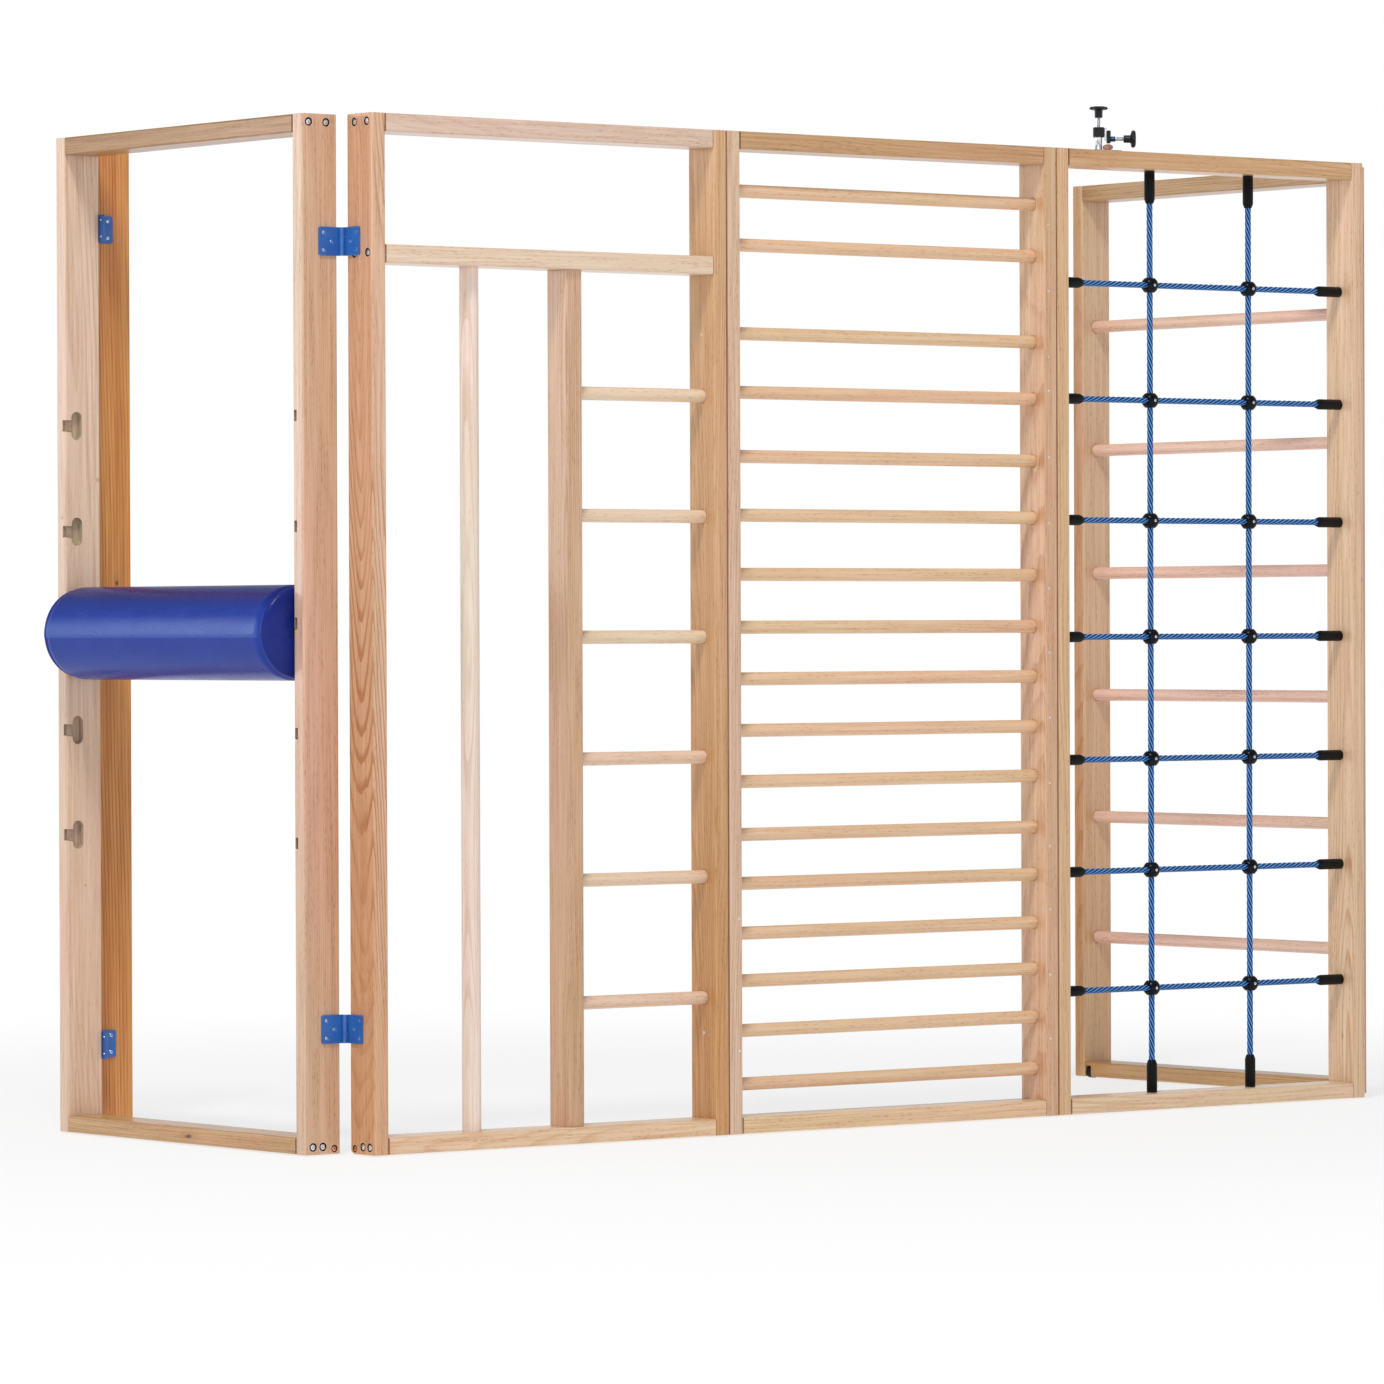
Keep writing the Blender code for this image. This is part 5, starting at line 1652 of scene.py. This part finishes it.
def star_knob(name, node, place, hub0, hub1, star0, star1, radius=21.8):
    """Six-lobed star with a fluted hub; place has w outward."""
    bm = bmesh.new()
    mid = (star0 + star1) / 2
    half = (star1 - star0) / 2
    stations = [(2.0, hub0, 0), (8.4, hub0, 0), (9.2, hub0 + 0.8, 0.4), (9.4, hub1 - 1, 0.5), (10.0, hub1, 0.6)]
    lobe = 5.0
    stations += [
        (14.0, star0 + 0.2, 1.6), (radius - 2.4, star0 + 0.25 * half, lobe * 0.9), (radius - 0.6, star0 + 0.6 * half, lobe),
        (radius, mid, lobe), (radius - 0.6, star1 - 0.6 * half, lobe), (radius - 2.6, star1 - 0.25 * half, lobe * 0.9),
        (15.0, star1 - 0.05, 2.0), (9.0, star1, 0.4), (8.2, star1 - 0.5, 0), (2.0, star1 - 0.6, 0),
    ]
    add_turned(bm, stations, place, 96, lobes=6)
    made = make(name, bm, 45)
    place_on(made, node, BLACK_KNOB, node)


star_knob("clamp_top_star", "clamp_top_knob", clamp, 2332, 2349, 2350, 2358.4)
star_knob("clamp_side_star", "clamp_side_knob", side_turned, 58.6, 74.0, 75.4, 86.8, 22.3)
bm = bmesh.new()
threaded(bm, clamp, 2286, 2333)
place_on(make("clamp_top_screw", bm, 0), "clamp_top_knob", STEEL_BRIGHT)
bm = bmesh.new()
threaded(bm, side_turned, 17.5, 59.5, 4.55, 1.75, 32)
place_on(make("clamp_side_screw", bm, 0), "clamp_side_knob", STEEL_BRIGHT)

make_fasteners()

# =================================================================================================
# floor, light, camera
# =================================================================================================
bm = bmesh.new()
sides, extent = 96, 60.0
ring = [bm.verts.new((extent * math.cos(2 * math.pi * i / sides) + 1.4, extent * math.sin(2 * math.pi * i / sides) - 0.5, -1.1252)) for i in range(sides)]
bm.faces.new(ring)
floor = make("floor", bm, 0, recalc=False)
t = Tree("pale_floor")
p = t.object_coordinates()
cloud = t.noise(p, 0.6, 2.0)
tint = t.mix(t.spread(cloud, 0.3, 0.7), (0.93, 0.93, 0.925, 1), (0.95, 0.95, 0.945, 1))
glow = t.new("ShaderNodeEmission")
glow.inputs["Color"].default_value = (1, 1, 1, 1)
glow.inputs["Strength"].default_value = 1.0
distance = t.vector("LENGTH", t.vector("SUBTRACT", p, (1.4, -0.5, -1.1252)))
far = t.spread(distance, 1.2, 5.0, 0.70, 1, True)
mixer = t.new("ShaderNodeMixShader")
t.put(mixer.inputs[0], far)
t.surface(tint, 0.75, None, Specular_IOR_Level=0.1)
t.links.new(t.shader.outputs[0], mixer.inputs[1])
t.links.new(glow.outputs[0], mixer.inputs[2])
t.links.new(mixer.outputs[0], t.out.inputs["Surface"])
floor.data.materials.append(t.material)

world = bpy.data.worlds.new("studio")
bpy.context.scene.world = world
world.use_nodes = True
wn, wl = world.node_tree.nodes, world.node_tree.links
wn.clear()
out = wn.new("ShaderNodeOutputWorld")
back = wn.new("ShaderNodeBackground")
coord = wn.new("ShaderNodeTexCoord")
split = wn.new("ShaderNodeSeparateXYZ")
ramp = wn.new("ShaderNodeValToRGB")
wl.new(coord.outputs["Generated"], split.inputs[0])
wl.new(split.outputs["Z"], ramp.inputs[0])
ramp.color_ramp.elements[0].position = 0.10
ramp.color_ramp.elements[0].color = (1.0, 1.0, 1.0, 1)
ramp.color_ramp.elements[1].position = 0.34
ramp.color_ramp.elements[1].color = (0.36, 0.37, 0.39, 1)
wl.new(ramp.outputs[0], back.inputs["Color"])
back.inputs["Strength"].default_value = 1.0
wl.new(back.outputs[0], out.inputs["Surface"])


def area(name, at, target, size, power, colour=(1, 1, 1)):
    data = bpy.data.lights.new(name, "AREA")
    data.shape = "RECTANGLE"
    data.size, data.size_y = size
    data.energy = power
    data.color = colour
    lamp = bpy.data.objects.new(name, data)
    SCENE.objects.link(lamp)
    lamp.location = at
    lamp.rotation_euler = (Vector(target) - Vector(at)).to_track_quat("-Z", "Y").to_euler()
    return lamp


area("overhead_key", (-4.36, -5.28, 11.1), (1.4, -0.8, 0.2), (2.5, 2.5), 960, (1.0, 0.985, 0.96))
area("front_left_soft", (-7.5, -7.5, 2.0), (1.0, -0.8, 0.0), (3.0, 3.0), 45, (1.0, 0.97, 0.93))
area("left_strip", (-3.9, 4.2, 1.1), (-0.1, -0.7, 0.0), (0.8, 2.6), 34, (0.97, 0.98, 1.0))

# the photograph's view
FOCAL_PX, CAM = 7086.87, (-8845.8, -12444.6, 1135.1)
YAW, PITCH, ROLL = 0.66289, -0.00886, -0.00334
camera_data = bpy.data.cameras.new("photo_view")
camera_data.sensor_fit = "HORIZONTAL"
camera_data.sensor_width = 36.0
camera_data.lens = FOCAL_PX / 1384 * 36.0
camera_data.clip_start, camera_data.clip_end = 0.5, 300.0
camera = bpy.data.objects.new("photo_view", camera_data)
SCENE.objects.link(camera)
look = Vector((math.sin(YAW) * math.cos(PITCH), math.cos(YAW) * math.cos(PITCH), math.sin(PITCH)))
right_axis = Vector((math.cos(YAW), -math.sin(YAW), 0))
up_axis = right_axis.cross(look)
turn = Matrix((right_axis, up_axis, -look)).transposed()
camera.matrix_world = (
    Matrix.Translation(W(*CAM)) @ turn.to_4x4() @ Matrix.Rotation(ROLL, 4, "Z")
)
bpy.context.scene.camera = camera
bpy.context.scene.view_settings.view_transform = "Standard"
bpy.context.scene.view_settings.look = "None"
